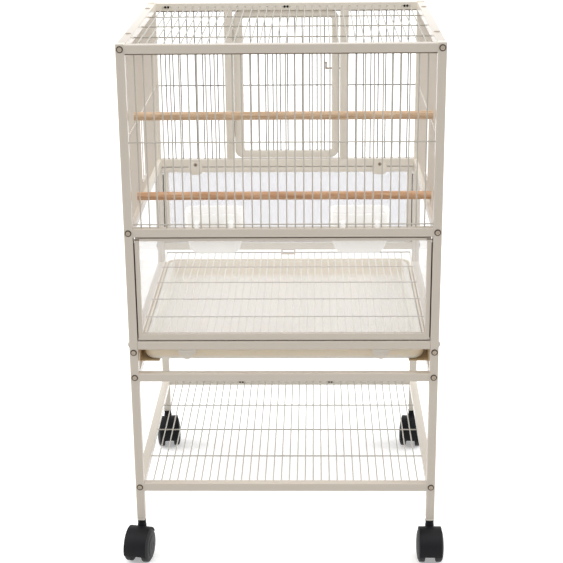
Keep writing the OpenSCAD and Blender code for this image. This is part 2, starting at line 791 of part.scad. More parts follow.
// Bolt along +Z from the face at z = 0, with its head below that face
module frame_bolt(l) {
    difference() {
        union() {
            translate([0, 0, -bolt_head_h / 2]) cylinder(h = l + bolt_head_h / 2, d = bolt_d);
            translate([0, 0, -bolt_head_h / 2]) cylinder(h = bolt_head_h / 2, d = bolt_head_d);
            translate([0, 0, -bolt_head_h])
                cylinder(h = bolt_head_h / 2, d1 = bolt_head_d * 0.76, d2 = bolt_head_d);
        }
        translate([0, 0, -bolt_head_h - 1]) cylinder(h = bolt_head_h * 0.7 + 1, d = 4.6, $fn = 6);
    }
}

// Bolts through the posts into the side rails, and into the front and rear bottom rails
module frame_bolts() {
    l = tube + bolt_reach;
    color(dark_steel) for (side = [-1, 1], end = [-1, 1]) {
        for (z = concat(bolt_levels_cage, bolt_levels_stand))
            translate([side * post_x, end * half_d, z]) rotate([end * 90, 0, 0]) frame_bolt(l);
        translate([side * half_w, end * post_y, (end < 0 ? front_low : rear_low) + tube / 2])
            rotate([0, -side * 90, 0]) frame_bolt(l);
    }
}

// Small screws: pivots of the turn tabs, top screws and the pairs in the rear rails
module panel_screws() {
    head_d = 8;
    pair_gap = 3;
    end_pair_x = inner_w / 2 - 1.5 * front_pitch;
    top_pairs = [-end_pair_x, gap_mid(0), end_pair_x];
    shelf_pairs = [gap_mid(-7), gap_mid(6)];
    color(dark_steel) {
        for (side = [-1, 1]) translate([side * tab_x, post_y - tube / 2, tab_pivot]) rotate([90, 0, 0]) {
            cylinder(h = tab_t + 2 * seat_gap, d = tab_screw_d);
            translate([0, 0, tab_t + 2 * seat_gap]) cylinder(h = 1.6, d1 = head_d, d2 = head_d * 0.7);
        }
        for (side = [-1, 1], y = [-half_d + top_screw_front, half_d - top_screw_back])
            translate([side * post_x, y, cage_top])
                cylinder(h = 1.5, d1 = top_screw_d, d2 = top_screw_d * 0.8);
        for (x = top_pairs, pair = [-pair_gap, pair_gap]) rear_screw(x + pair, top_low + tube / 2);
        for (x = shelf_pairs, pair = [-pair_gap, pair_gap]) rear_screw(x + pair, shelf_z + tube / 2);
    }
}

// Small round head on the inner face of a rear rail
module rear_screw(x, z) {
    translate([x, inner_d / 2, z]) rotate([90, 0, 0]) cylinder(h = 1.4, d1 = 5, d2 = 3.6);
}

// Caps on the cage posts and plugs in the feet of the stand posts
module post_plugs() {
    plug_w = bore_w - 0.2;
    color(grey_plastic) for (side = [-1, 1], end = [-1, 1]) translate([side * post_x, end * post_y, 0]) {
        translate([0, 0, cage_top]) linear_extrude(cap_t) polygon(round_rect(tube, tube, tube_round + 1));
        translate([0, 0, cage_top - cap_plug_l]) linear_extrude(cap_plug_l + 0.5)
            square(plug_w, center = true);
        difference() {
            union() {
                translate([0, 0, caster_h]) linear_extrude(plug_flange)
                    polygon(round_rect(tube - 1, tube - 1, 3));
                translate([0, 0, caster_h]) linear_extrude(plug_flange + plug_l)
                    square(plug_w, center = true);
            }
            translate([0, 0, caster_h - 1]) cylinder(h = plug_flange + plug_l + 2,
                                                     d = stem_d + 2 * pin_fit);
        }
    }
}

// Sector of the XY plane between two angles, as a long wedge
function wedge(from, to, r) = concat([[0, 0]], [for (i = [0:6]) let (a = from + i * (to - from) / 6)
                                                r * [cos(a), sin(a)]]);

// Caster without its wheels: stem, neck, web and hood, with the swivel axis on z
module caster(side, end, turn) {
    color(black_plastic) translate([side * post_x, end * post_y, 0]) rotate([0, 0, turn]) difference() {
        union() {
            difference() {
                translate([0, 0, wheel_r]) cylinder(h = caster_h - seat_gap - wheel_r, d = neck_d);
                translate([-neck_d, -trail, wheel_r]) rotate([0, 90, 0])
                    cylinder(h = 2 * neck_d, r = hood_in + 0.4);
            }
            translate([0, 0, caster_h - 2]) cylinder(h = plug_l, d = stem_d);
            translate([-web_w / 2, -trail, wheel_r]) rotate([0, 90, 0])
                cylinder(h = web_w, r = hood_in + 0.5);
            translate([-hood_w / 2, -trail, wheel_r]) rotate([90, 0, 90]) intersection() {
                difference() {
                    cylinder(h = hood_w, r = hood_out, $fn = 64);
                    translate([0, 0, -1]) cylinder(h = hood_w + 2, r = hood_in, $fn = 64);
                }
                translate([0, 0, -1]) linear_extrude(hood_w + 2)
                    polygon(wedge(hood_back, hood_front, 3 * hood_out));
            }
        }
        translate([-hood_w, -trail, wheel_r]) rotate([0, 90, 0])
            cylinder(h = 2 * hood_w, d = axle_d + 2 * pin_fit);
        translate([-hood_w, -trail - 2 * wheel_r, -hood_out])
            cube([2 * hood_w, 4 * wheel_r, hood_out + web_lift]);
    }
}

// Pair of domed wheels on one axle
module wheels(side, end, turn) {
    inner = web_w / 2 + 0.4;
    outer = caster_w / 2;
    color(black_plastic) translate([side * post_x, end * post_y, 0]) rotate([0, 0, turn])
        translate([0, -trail, wheel_r]) union() {
            rotate([0, 90, 0]) translate([0, 0, -outer + 4]) cylinder(h = 2 * outer - 8, d = axle_d);
            for (wheel_side = [-1, 1]) rotate([0, wheel_side * 90, 0]) rotate_extrude($fn = 64)
                polygon([[0, inner], [wheel_r - 1, inner], [wheel_r, inner + 1],
                         [wheel_r, outer - 6], [wheel_r - 1.2, outer - 3.6], [wheel_r - 4, outer - 1.6],
                         [wheel_r - 9, outer - 0.5], [wheel_r - 14, outer], [0, outer]]);
        }
}

cage_post(-1, -1);  // post_front_left
cage_post(1, -1);  // post_front_right
cage_post(-1, 1);  // post_rear_left
cage_post(1, 1);  // post_rear_right
color(cream) rail_x(-post_y, top_low);  // rail_front_top
color(cream) rail_x(-post_y, mid_low);  // rail_front_mid
color(cream) rail_x_bolted(-post_y, front_low);  // rail_front_bottom
color(cream) rail_x(post_y, top_low);  // rail_rear_top
color(cream) rail_x(post_y, mid_low);  // rail_rear_mid
color(cream) rail_x_bolted(post_y, rear_low);  // rail_rear_bottom
side_rails(top_low);  // side_rails_top
side_rails(mid_low);  // side_rails_mid
side_rails(side_low);  // side_rails_bottom
grille_front();
grille_side(-1);  // grille_left
grille_side(1);  // grille_right
grille_rear(-1);  // grille_rear_left
grille_rear(1);  // grille_rear_right
deck(top_low + tube / 2);  // grille_top
door_jambs();
rear_door();
door_latch();
hatch_frame();
hatch_pane();
rear_pane();
side_panes();
turn_tab(-1);  // turn_tab_left
turn_tab(1);  // turn_tab_right
tray();
tray_runners();
tray_stops();
grate();
perch(perch_high);  // perch_upper
perch(perch_low);  // perch_lower
feed_cup(cup_places[0]);  // feed_cup_left
feed_cup(cup_places[1]);  // feed_cup_right
feeder_door(-1);  // feeder_door_left
feeder_door(1);  // feeder_door_right
stand_post(-1, -1);  // stand_post_front_left
stand_post(1, -1);  // stand_post_front_right
stand_post(-1, 1);  // stand_post_rear_left
stand_post(1, 1);  // stand_post_rear_right
color(cream) rail_x(-post_y, stand_rail_low);  // stand_rail_front
color(cream) rail_x(post_y, stand_rail_low);  // stand_rail_rear
side_rails(stand_rail_low);  // stand_side_rails
color(cream) rail_x(-post_y, shelf_z);  // shelf_rail_front
color(cream) rail_x(post_y, shelf_z);  // shelf_rail_rear
side_rails(shelf_z);  // shelf_side_rails
deck(shelf_z + tube / 2);  // shelf_grid
frame_bolts();
panel_screws();
post_plugs();
caster(-1, -1, caster_turn[0]);  // caster_front_left
caster(1, -1, caster_turn[1]);  // caster_front_right
caster(-1, 1, caster_turn[2]);  // caster_rear_left
caster(1, 1, caster_turn[3]);  // caster_rear_right
wheels(-1, -1, caster_turn[0]);  // wheels_front_left
wheels(1, -1, caster_turn[1]);  // wheels_front_right
wheels(-1, 1, caster_turn[2]);  // wheels_rear_left
wheels(1, 1, caster_turn[3]);  // wheels_rear_right
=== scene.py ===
# Canary breeding cage on a rolling stand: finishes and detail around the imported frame.
import json
import math

import bmesh
import bpy
from mathutils import Matrix, Vector


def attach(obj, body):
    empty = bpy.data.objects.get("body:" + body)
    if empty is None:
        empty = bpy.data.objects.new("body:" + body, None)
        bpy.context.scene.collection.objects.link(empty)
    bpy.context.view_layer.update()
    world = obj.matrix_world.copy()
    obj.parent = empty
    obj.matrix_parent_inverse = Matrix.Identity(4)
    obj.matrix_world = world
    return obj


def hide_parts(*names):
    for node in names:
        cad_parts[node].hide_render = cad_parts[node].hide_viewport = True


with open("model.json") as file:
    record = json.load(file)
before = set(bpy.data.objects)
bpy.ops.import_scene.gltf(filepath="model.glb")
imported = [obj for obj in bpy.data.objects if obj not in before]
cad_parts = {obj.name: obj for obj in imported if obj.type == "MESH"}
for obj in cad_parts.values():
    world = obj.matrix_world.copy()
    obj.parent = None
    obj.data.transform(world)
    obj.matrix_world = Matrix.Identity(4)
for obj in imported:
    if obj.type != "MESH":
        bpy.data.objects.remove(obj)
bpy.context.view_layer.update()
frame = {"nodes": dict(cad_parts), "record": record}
nodes = frame["nodes"]
mm = 0.001
print("frame loaded:", len(nodes), "nodes")

# Camera, at the photograph's viewpoint

cameraSettings = {
    "place": (0.0574, -2.7391, 1.4177),  # a little right of the middle, above the top rails
    "pitch": 18.884,  # degrees down
    "yaw": -1.395,
    "roll": -0.588,
    "lens": 90.62,
    "sensor": 36.0,
}


def addObject(name, data):
    thing = bpy.data.objects.new(name, data)
    bpy.context.scene.collection.objects.link(thing)
    return thing


def makeCamera(s):
    pitch, yaw, roll = (math.radians(s[k]) for k in ("pitch", "yaw", "roll"))
    ahead = Vector((math.sin(yaw), math.cos(yaw), 0.0))
    side = Vector((math.cos(yaw), -math.sin(yaw), 0.0))
    up = Vector((0.0, 0.0, 1.0))
    look = math.cos(pitch) * ahead - math.sin(pitch) * up
    top = math.cos(pitch) * up + math.sin(pitch) * ahead
    right = math.cos(roll) * side + math.sin(roll) * top
    top = math.cos(roll) * top - math.sin(roll) * side
    turn = Matrix((right, top, -look)).transposed().to_4x4()
    data = bpy.data.cameras.new("photoCamera")
    data.lens = s["lens"]
    data.sensor_width = s["sensor"]
    data.sensor_fit = "HORIZONTAL"
    data.clip_end = 200.0
    camera = addObject("photoCamera", data)
    camera.matrix_world = Matrix.Translation(s["place"]) @ turn
    bpy.context.scene.camera = camera


makeCamera(cameraSettings)

# Studio: a light tent, bright above and at both sides and dimmer towards the camera

studio = {
    "skyForObject": 0.34,  # what lights matt surfaces
    "skyForEye": 1.0,  # what the eye, gloss and clear plastic see
    "lamps": {  # strength, width in degrees, turn of the lamp in degrees
        "topLamp": (1.35, 60.0, (12.0, 0.0, 0.0)),
        "leftLamp": (1.9, 50.0, (0.0, -62.0, 0.0)),
        "rightLamp": (1.9, 50.0, (0.0, 62.0, 0.0)),
    },
    "floorSize": 120.0,
    "floorForEye": "#f6f6f6",
    "floorForObject": "#c6c5c3",
    "floorGlow": 0.34,  # lifts the paper to white and leaves a faint shadow
}


def linear(hexColour, alpha=1.0):
    def toLinear(c):
        return c / 12.92 if c <= 0.04045 else ((c + 0.055) / 1.055) ** 2.4
    h = hexColour.lstrip("#")
    return tuple(toLinear(int(h[i:i + 2], 16) / 255) for i in (0, 2, 4)) + (alpha,)


def addNode(tree, kind, inputs=None, **settings):
    node = tree.nodes.new(kind)
    for name, value in settings.items():
        setattr(node, name, value)
    for key, value in (inputs or {}).items():
        if isinstance(value, bpy.types.NodeSocket):
            tree.links.new(value, node.inputs[key])
        else:
            node.inputs[key].default_value = value
    return node


def emptyTree(owner):
    owner.use_nodes = True
    owner.node_tree.nodes.clear()
    return owner.node_tree


def eyeRays(tree):
    rays = addNode(tree, "ShaderNodeLightPath")
    some = addNode(tree, "ShaderNodeMath", {0: rays.outputs["Is Camera Ray"],
                                            1: rays.outputs["Is Glossy Ray"]}, operation="MAXIMUM")
    return addNode(tree, "ShaderNodeMath", {0: some.outputs[0],
                                            1: rays.outputs["Is Transmission Ray"]},
                   operation="MAXIMUM").outputs[0]


def makeStudio(s):
    world = bpy.data.worlds.new("whiteStudio")
    bpy.context.scene.world = world
    tree = emptyTree(world)
    strength = addNode(tree, "ShaderNodeMapRange", {"Value": eyeRays(tree), "To Min": s["skyForObject"],
                                                    "To Max": s["skyForEye"]})
    sky = addNode(tree, "ShaderNodeBackground", {"Color": (1, 1, 1, 1), "Strength": strength.outputs[0]})
    addNode(tree, "ShaderNodeOutputWorld", {"Surface": sky.outputs[0]})

    for name, (strength, width, turn) in s["lamps"].items():
        lampData = bpy.data.lights.new(name, "SUN")
        lampData.energy = strength
        lampData.angle = math.radians(width)
        addObject(name, lampData).rotation_euler = [math.radians(a) for a in turn]

    floorMesh = bmesh.new()
    bmesh.ops.create_grid(floorMesh, x_segments=1, y_segments=1, size=s["floorSize"] / 2)
    data = bpy.data.meshes.new("studioFloor")
    floorMesh.to_mesh(data)
    floorMesh.free()
    floor = addObject("studioFloor", data)
    paper = bpy.data.materials.new("whitePaper")
    tree = emptyTree(paper)
    plain = addNode(tree, "ShaderNodeBsdfDiffuse", {"Color": linear(s["floorForObject"])})
    seen = addNode(tree, "ShaderNodeBsdfDiffuse", {"Color": linear(s["floorForEye"])})
    glow = addNode(tree, "ShaderNodeEmission", {"Color": (1, 1, 1, 1), "Strength": s["floorGlow"]})
    both = addNode(tree, "ShaderNodeAddShader", {0: seen.outputs[0], 1: glow.outputs[0]})
    pick = addNode(tree, "ShaderNodeMixShader", {0: eyeRays(tree), 1: plain.outputs[0], 2: both.outputs[0]})
    addNode(tree, "ShaderNodeOutputMaterial", {"Surface": pick.outputs[0]})
    data.materials.append(paper)


makeStudio(studio)
view = bpy.context.scene.view_settings
view.view_transform = "Standard"
print("camera and studio ready")

# Finishes


def newFinish(name):
    material = bpy.data.materials.new(name)
    tree = emptyTree(material)
    return material, tree, addNode(tree, "ShaderNodeTexCoord").outputs["Object"]


def shaded(material, tree, inputs):
    shader = addNode(tree, "ShaderNodeBsdfPrincipled", inputs)
    addNode(tree, "ShaderNodeOutputMaterial", {"Surface": shader.outputs[0]})
    return material


def perMm(size):
    return 1000.0 / size  # texture scale for a feature of that many millimetres


# Polyester powder coat on steel: sprayed and baked, a satin skin with a faint orange peel; a rear colour
# mixed in by depth paints the coat paler or darker towards the rear, painted light and painted shade
def powderCoat(name, colour, shade, far, peel, rough):
    material, tree, place = newFinish(name)
    cloud = addNode(tree, "ShaderNodeTexNoise", {"Vector": place, "Scale": perMm(90), "Detail": 2.0})
    mix = addNode(tree, "ShaderNodeMix", {"Factor": cloud.outputs["Fac"], 6: linear(colour),
                                          7: linear(shade)}, data_type="RGBA")
    # painted light and shade: the colour moves to the rear colour from front to rear
    depth = addNode(tree, "ShaderNodeSeparateXYZ", {0: place}).outputs["Y"]  # shifts from front to rear
    back = addNode(tree, "ShaderNodeMapRange", {"Value": depth, "From Min": -0.24, "From Max": 0.26})
    paintedLightMix = addNode(tree, "ShaderNodeMix", {"Factor": back.outputs[0], 6: mix.outputs[2], 7: linear(far)},
                   data_type="RGBA")
    skin = addNode(tree, "ShaderNodeTexNoise", {"Vector": place, "Scale": perMm(2.2), "Detail": 1.5})
    gloss = addNode(tree, "ShaderNodeMapRange", {"Value": skin.outputs["Fac"], "To Min": rough - 0.05,
                                                 "To Max": rough + 0.05})
    bump = addNode(tree, "ShaderNodeBump", {"Height": skin.outputs["Fac"], "Strength": peel,
                                            "Distance": 0.05 * mm})
    return shaded(material, tree, {
        "Base Color": paintedLightMix.outputs[2], "Roughness": gloss.outputs[0], "Normal": bump.outputs[0],
        "IOR": 1.5, "Coat Weight": 0.7, "Coat Roughness": 0.18})


# the tube coat's rear colour is paler: painted light on the rear frame
tubeCoat = powderCoat("creamPowderCoat", "#cfc5b8", "#cbc0b2", "#ede6da", 0.5, 0.42)
wireCoat = powderCoat("creamWireCoat", "#d8cec1", "#d3c9bb", "#d8cec1", 0.3, 0.38)
# a darker copy of the cream wire coat for the front, rear and door grilles: painted shade, darker still
# towards the rear
shadedWireCoat = powderCoat("paintedShadeWireCoat", "#bbb5aa", "#b5afa3", "#7d7973", 0.3, 0.45)
# a darker copy of the cream wire coat for the top grille: painted shade
shadedDeckWireCoat = powderCoat("shadedDeckWireCoat", "#a59f92", "#9f998c", "#a59f92", 0.3, 0.45)
# a darker copy of the cream wire coat for the shelf: painted shade, a little darker towards the rear
shadedShelfWireCoat = powderCoat("shadedShelfWireCoat", "#bdb8ae", "#b7b2a8", "#b4afa6", 0.3, 0.42)
# a near-white copy of the cream wire coat for the grate's long wires: painted light from the top light
litGrateWireCoat = powderCoat("paintedLightWireCoat", "#f6f1e8", "#f1ece2", "#f6f1e8", 0.3, 0.38)
# a darker copy of the cream wire coat for the grate's cross wires: painted shade for the shadows falling on
# them
shadedGrateCrossCoat = powderCoat("paintedShadeCrossWireCoat", "#b4afa6", "#a8a39a", "#b4afa6", 0.3, 0.42)


# Clear polystyrene sheet: extruded flat, glossy, and nearly invisible face on
def clearSheet(name, colour, cover):
    material, tree, place = newFinish(name)
    ripple = addNode(tree, "ShaderNodeTexNoise", {"Vector": place, "Scale": perMm(60), "Detail": 1.0})
    bump = addNode(tree, "ShaderNodeBump", {"Height": ripple.outputs["Fac"], "Strength": 0.15,
                                            "Distance": 0.5 * mm})
    return shaded(material, tree, {
        "Base Color": linear(colour), "Roughness": 0.06, "Normal": bump.outputs[0], "IOR": 1.59,
        "Alpha": cover, "Coat Weight": 0.5, "Coat Roughness": 0.03})


clearPane = clearSheet("clearPolystyrene", "#c1c1d0", 0.35)
# the hatch sheet's pale cover stands in for its reflection: painted reflection
hatchSheet = clearSheet("paintedReflectionPolystyrene", "#fcf9f5", 0.28)
sideSheet = clearSheet("thinPolystyrene", "#d3d2dc", 0.18)


# Polypropylene tray: injection moulded with a fine eroded grain; the floor is painted paler, painted light
# where the top light falls on it
def mouldedTray():
    material, tree, place = newFinish("creamPolypropylene")
    cloud = addNode(tree, "ShaderNodeTexNoise", {"Vector": place, "Scale": perMm(120), "Detail": 2.0})
    mix = addNode(tree, "ShaderNodeMix", {"Factor": cloud.outputs["Fac"], 6: linear("#faeed8"),
                                          7: linear("#f6e7cd")}, data_type="RGBA")
    height = addNode(tree, "ShaderNodeSeparateXYZ", {0: place}).outputs["Z"]  # finds the floor
    paintedLightMix = addNode(tree, "ShaderNodeMapRange", {"Value": height, "From Min": 0.4110, "From Max": 0.4190,
                                                "To Min": 1.0, "To Max": 0.0})
    # painted light: a paler colour on the floor below this height
    floorMix = addNode(tree, "ShaderNodeMix", {"Factor": paintedLightMix.outputs[0], 6: mix.outputs[2],
                                               7: linear("#fbf9f4")}, data_type="RGBA")
    grain = addNode(tree, "ShaderNodeTexNoise", {"Vector": place, "Scale": perMm(0.9), "Detail": 2.0})
    bump = addNode(tree, "ShaderNodeBump", {"Height": grain.outputs["Fac"], "Strength": 0.35,
                                            "Distance": 0.05 * mm})
    return shaded(material, tree, {
        "Base Color": floorMix.outputs[2], "Roughness": 0.48, "Normal": bump.outputs[0], "IOR": 1.49,
        "Subsurface Weight": 0.08, "Subsurface Scale": 2 * mm})


trayPlastic = mouldedTray()


# Beech dowel, sanded and left bare: long grain along the dowel with short darker flecks
def bareDowel(name, dark, middle, pale, fleck):
    material, tree, place = newFinish(name)
    along = addNode(tree, "ShaderNodeMapping", {"Vector": place, "Scale": (0.06, 1.0, 1.0)})
    rings = addNode(tree, "ShaderNodeTexNoise", {"Vector": along.outputs[0], "Scale": perMm(3.2),
                                                 "Detail": 5.0, "Roughness": 0.6, "Distortion": 0.6})
    ramp = addNode(tree, "ShaderNodeValToRGB", {"Fac": rings.outputs["Fac"]})
    stops = ramp.color_ramp.elements
    stops[0].position, stops[0].color = 0.30, linear(dark)
    stops[1].position, stops[1].color = 0.72, linear(pale)
    stops.new(0.5).color = linear(middle)
    patch = addNode(tree, "ShaderNodeMapping", {"Vector": place, "Scale": (0.5, 1.0, 1.0)})
    cloud = addNode(tree, "ShaderNodeTexNoise", {"Vector": patch.outputs[0], "Scale": perMm(26),
                                                 "Detail": 2.0})
    tone = addNode(tree, "ShaderNodeMapRange", {"Value": cloud.outputs["Fac"], "From Min": 0.35,
                                                "From Max": 0.65, "To Min": 0.0, "To Max": 0.30})
    toned = addNode(tree, "ShaderNodeMix", {"Factor": tone.outputs[0], 6: ramp.outputs[0], 7: linear(dark)},
                    data_type="RGBA")
    short = addNode(tree, "ShaderNodeMapping", {"Vector": place, "Scale": (0.22, 1.0, 1.0)})
    flecks = addNode(tree, "ShaderNodeTexNoise", {"Vector": short.outputs[0], "Scale": perMm(1.1),
                                                  "Detail": 2.0})
    fleckMask = addNode(tree, "ShaderNodeMapRange", {"Value": flecks.outputs["Fac"], "From Min": 0.60,
                                                     "From Max": 0.72, "To Min": 0.0, "To Max": 0.55})
    mix = addNode(tree, "ShaderNodeMix", {"Factor": fleckMask.outputs[0], 6: toned.outputs[2],
                                          7: linear(fleck)}, data_type="RGBA")
    bump = addNode(tree, "ShaderNodeBump", {"Height": rings.outputs["Fac"], "Strength": 0.4,
                                            "Distance": 0.12 * mm})
    return shaded(material, tree, {"Base Color": mix.outputs[2], "Roughness": 0.62,
                                   "Normal": bump.outputs[0], "IOR": 1.45})


dowelWood = bareDowel("bareBeech", "#bc9b7b", "#d6b696", "#e8d1b5", "#a07e5f")
redDowelWood = bareDowel("bareRedBeech", "#b0805c", "#d0a47f", "#e6c4a3", "#82563a")


# Natural polystyrene cup: milky and half clear, with a soft shine; an emission makes the thin wall glow a
# little, painted light for the light coming through it
def milkyCup():
    material, tree, place = newFinish("milkyPolystyrene")
    flow = addNode(tree, "ShaderNodeTexNoise", {"Vector": place, "Scale": perMm(35), "Detail": 2.0})
    mix = addNode(tree, "ShaderNodeMix", {"Factor": flow.outputs["Fac"], 6: linear("#fdfcfa"),
                                          7: linear("#f8f7f4")}, data_type="RGBA")
    return shaded(material, tree, {
        "Base Color": mix.outputs[2], "Roughness": 0.28, "IOR": 1.5, "Alpha": 0.45,
        "Emission Color": (1, 1, 1, 1), "Emission Strength": 0.20})


cupPlastic = milkyCup()


# Polyethylene trim and dipped vinyl: matt, slightly waxy
def waxyTrim(name, colour, rough):
    material, tree, place = newFinish(name)
    grain = addNode(tree, "ShaderNodeTexNoise", {"Vector": place, "Scale": perMm(0.8), "Detail": 2.0})
    bump = addNode(tree, "ShaderNodeBump", {"Height": grain.outputs["Fac"], "Strength": 0.3,
                                            "Distance": 0.05 * mm})
    return shaded(material, tree, {"Base Color": linear(colour), "Roughness": rough,
                                   "Normal": bump.outputs[0], "IOR": 1.5})


greyTrim = waxyTrim("greyPolyethylene", "#ece4d8", 0.5)
# a paler copy of the tray plastic for the flat ledges and the stop ribs: painted light where the top light
# falls
paleTray = waxyTrim("paintedLightPolypropylene", "#f8f6ee", 0.5)
# a tan colour for the grate's pull loop: painted shade
shadedSleeve = waxyTrim("paintedShadeVinylSleeve", "#c8b39c", 0.55)
# a darker tan plastic for the tray runners: painted shade for the shade they stand in
shadedRunnerPlastic = waxyTrim("paintedShadePolypropylene", "#cdb48c", 0.5)


# Zinc-plated or blackened steel fastener: turned head, fine marks, dull shine
def platedSteel(name, colour, rough):
    material, tree, place = newFinish(name)
    marks = addNode(tree, "ShaderNodeTexNoise", {"Vector": place, "Scale": perMm(1.5), "Detail": 3.0})
    sheen = addNode(tree, "ShaderNodeMapRange", {"Value": marks.outputs["Fac"], "To Min": rough - 0.08,
                                                 "To Max": rough + 0.1})
    return shaded(material, tree, {"Base Color": linear(colour), "Metallic": 1.0,
                                   "Roughness": sheen.outputs[0]})


boltSteel = platedSteel("dullZincPlate", "#9b9082", 0.38)
darkSteel = platedSteel("blackenedSteel", "#4b443d", 0.40)
# black steel for the rail screw pairs, also used as painted shade for the cross-head recesses
blackSteelAndShade = platedSteel("blackSteelAndPaintedShade", "#1d1a18", 0.55)
# a dark steel colour used as painted shade: strips and plates put in gaps and corners where shade falls
paintedGapShade = platedSteel("paintedShadeDarkSteel", "#6d6254", 0.6)


# Black nylon caster: moulded, satin, with a fine eroded grain
def blackMoulding(name, colour, rough):
    material, tree, place = newFinish(name)
    grain = addNode(tree, "ShaderNodeTexNoise", {"Vector": place, "Scale": perMm(0.7), "Detail": 2.0})
    gloss = addNode(tree, "ShaderNodeMapRange", {"Value": grain.outputs["Fac"], "To Min": rough - 0.06,
                                                 "To Max": rough + 0.08})
    bump = addNode(tree, "ShaderNodeBump", {"Height": grain.outputs["Fac"], "Strength": 0.35,
                                            "Distance": 0.05 * mm})
    return shaded(material, tree, {
        "Base Color": linear(colour), "Roughness": gloss.outputs[0], "Normal": bump.outputs[0],
        "IOR": 1.5, "Specular IOR Level": 0.16})


casterNylon = blackMoulding("blackNylon", "#111114", 0.50)
wheelNylon = blackMoulding("greyBlackNylon", "#28282a", 0.46)
print("finishes ready")

# Making pieces: every length below is in millimetres, and a finished piece is brought to metres

toFront = Matrix.Rotation(math.pi / 2, 4, "X")  # turns what was drawn along z towards the front
toSide = Matrix.Rotation(math.pi / 2, 4, "Y")  # and towards the right
crease = math.radians(38)  # faces that meet at more than this keep a sharp edge
rimAngle = 1.2  # and a plate's rim turns by more than this, in radians


def newPiece(name, mesh, finish, body, replaces=(), wall=0.0, outward=True):
    if outward:
        bmesh.ops.recalc_face_normals(mesh, faces=mesh.faces)
    bmesh.ops.scale(mesh, vec=(mm, mm, mm), verts=mesh.verts)
    data = bpy.data.meshes.new(name)
    mesh.to_mesh(data)
    mesh.free()
    data.shade_smooth()
    data.set_sharp_from_angle(angle=crease)
    data.materials.append(finish)
    piece = addObject(name, data)
    if wall:
        shell = piece.modifiers.new("wall", "SOLIDIFY")
        shell.thickness = wall * mm
        shell.offset = -1.0
        shell.use_even_offset = True
    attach(piece, body)
    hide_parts(*replaces)


def rod(mesh, start, end, size, sides=12, farSize=None):
    start, end = Vector(start), Vector(end)
    turn = (end - start).to_track_quat("Z", "Y").to_matrix().to_4x4()
    bmesh.ops.create_cone(mesh, cap_ends=True, segments=sides, radius1=size / 2,
                          radius2=(size if farSize is None else farSize) / 2, depth=(end - start).length,
                          matrix=Matrix.Translation((start + end) / 2) @ turn)


def block(mesh, low, high, edge=0.0, steps=2):
    low, high = Vector(low), Vector(high)
    place = Matrix.Translation((low + high) / 2) @ Matrix.Diagonal((*(high - low), 1.0))
    corners = bmesh.ops.create_cube(mesh, size=1.0, matrix=place)["verts"]
    if edge:
        edges = list({e for v in corners for e in v.link_edges})
        bmesh.ops.bevel(mesh, geom=edges, affect="EDGES", offset=edge, segments=steps, profile=0.5,
                        material=-1)


def sideBlock(mesh, hand, x, y, z, edge):  # x as on the right, mirrored where hand is -1
    near, far = sorted(hand * end for end in x)
    block(mesh, (near, y[0], z[0]), (far, y[1], z[1]), edge)


def spinRound(part, geom, sides):
    bmesh.ops.spin(part, geom=geom, cent=(0, 0, 0), axis=(0, 0, 1), dvec=(0, 0, 0), angle=math.tau,
                   steps=sides, use_merge=True)
    bmesh.ops.remove_doubles(part, verts=part.verts, dist=0.0005)
    bmesh.ops.recalc_face_normals(part, faces=part.faces)
    return part


def turned(profile, sides=32):  # profile of (radius, height) about z
    part = bmesh.new()
    points = [part.verts.new((radius, 0.0, height)) for radius, height in profile]
    lines = [part.edges.new(pair) for pair in zip(points, points[1:])]
    return spinRound(part, points + lines, sides)


def ring(size, thick, sides=20):  # a closed ring of wire round z, size across the wire's middle
    part = bmesh.new()
    loop = bmesh.ops.create_circle(part, segments=8, radius=thick / 2,
                                   matrix=Matrix.Translation((size / 2, 0, 0)) @ toFront)["verts"]
    edges = list({e for v in loop for e in v.link_edges})
    return spinRound(part, loop + edges, sides)


def stamp(mesh, part, place):
    data = bpy.data.meshes.new("stamp")
    part.to_mesh(data)
    data.transform(place)
    mesh.from_mesh(data)
    bpy.data.meshes.remove(data)


def stampOnce(mesh, part, place):
    stamp(mesh, part, place)
    part.free()


def ball(mesh, at, radius, sides, rows):
    bmesh.ops.create_uvsphere(mesh, u_segments=sides, v_segments=rows, radius=radius,
                              matrix=Matrix.Translation(at))


def cutAway(part, at, facing):  # drops what lies past a plane and closes the cut
    bmesh.ops.bisect_plane(part, geom=part.verts[:] + part.edges[:] + part.faces[:], plane_co=at,
                           plane_no=facing, clear_outer=True)
    bmesh.ops.holes_fill(part, edges=[e for e in part.edges if e.is_boundary], sides=0)


def roundedLoop(mesh, width, depth, corner, middle, height, steps=6):
    made = bmesh.ops.create_grid(mesh, x_segments=1, y_segments=1, size=0.5)["verts"]
    bmesh.ops.transform(mesh, verts=made, matrix=Matrix.Translation((*middle, height))
                        @ Matrix.Diagonal((width, depth, 1.0, 1.0)))
    bmesh.ops.bevel(mesh, geom=made, affect="VERTICES", offset=corner, segments=steps, profile=0.5,
                    material=-1)


def loft(mesh, levels, steps=6):  # levels of (width, depth, corner, middle, height), closed at the first
    loops = []
    for i, level in enumerate(levels):
        before = set(mesh.faces)
        roundedLoop(mesh, *level, steps=steps)
        face = next(f for f in mesh.faces if f not in before)
        loops.append(list(face.edges))
        if i:
            bmesh.ops.delete(mesh, geom=[face], context="FACES_ONLY")
    for below, above in zip(loops, loops[1:]):
        bmesh.ops.bridge_loops(mesh, edges=below + above)


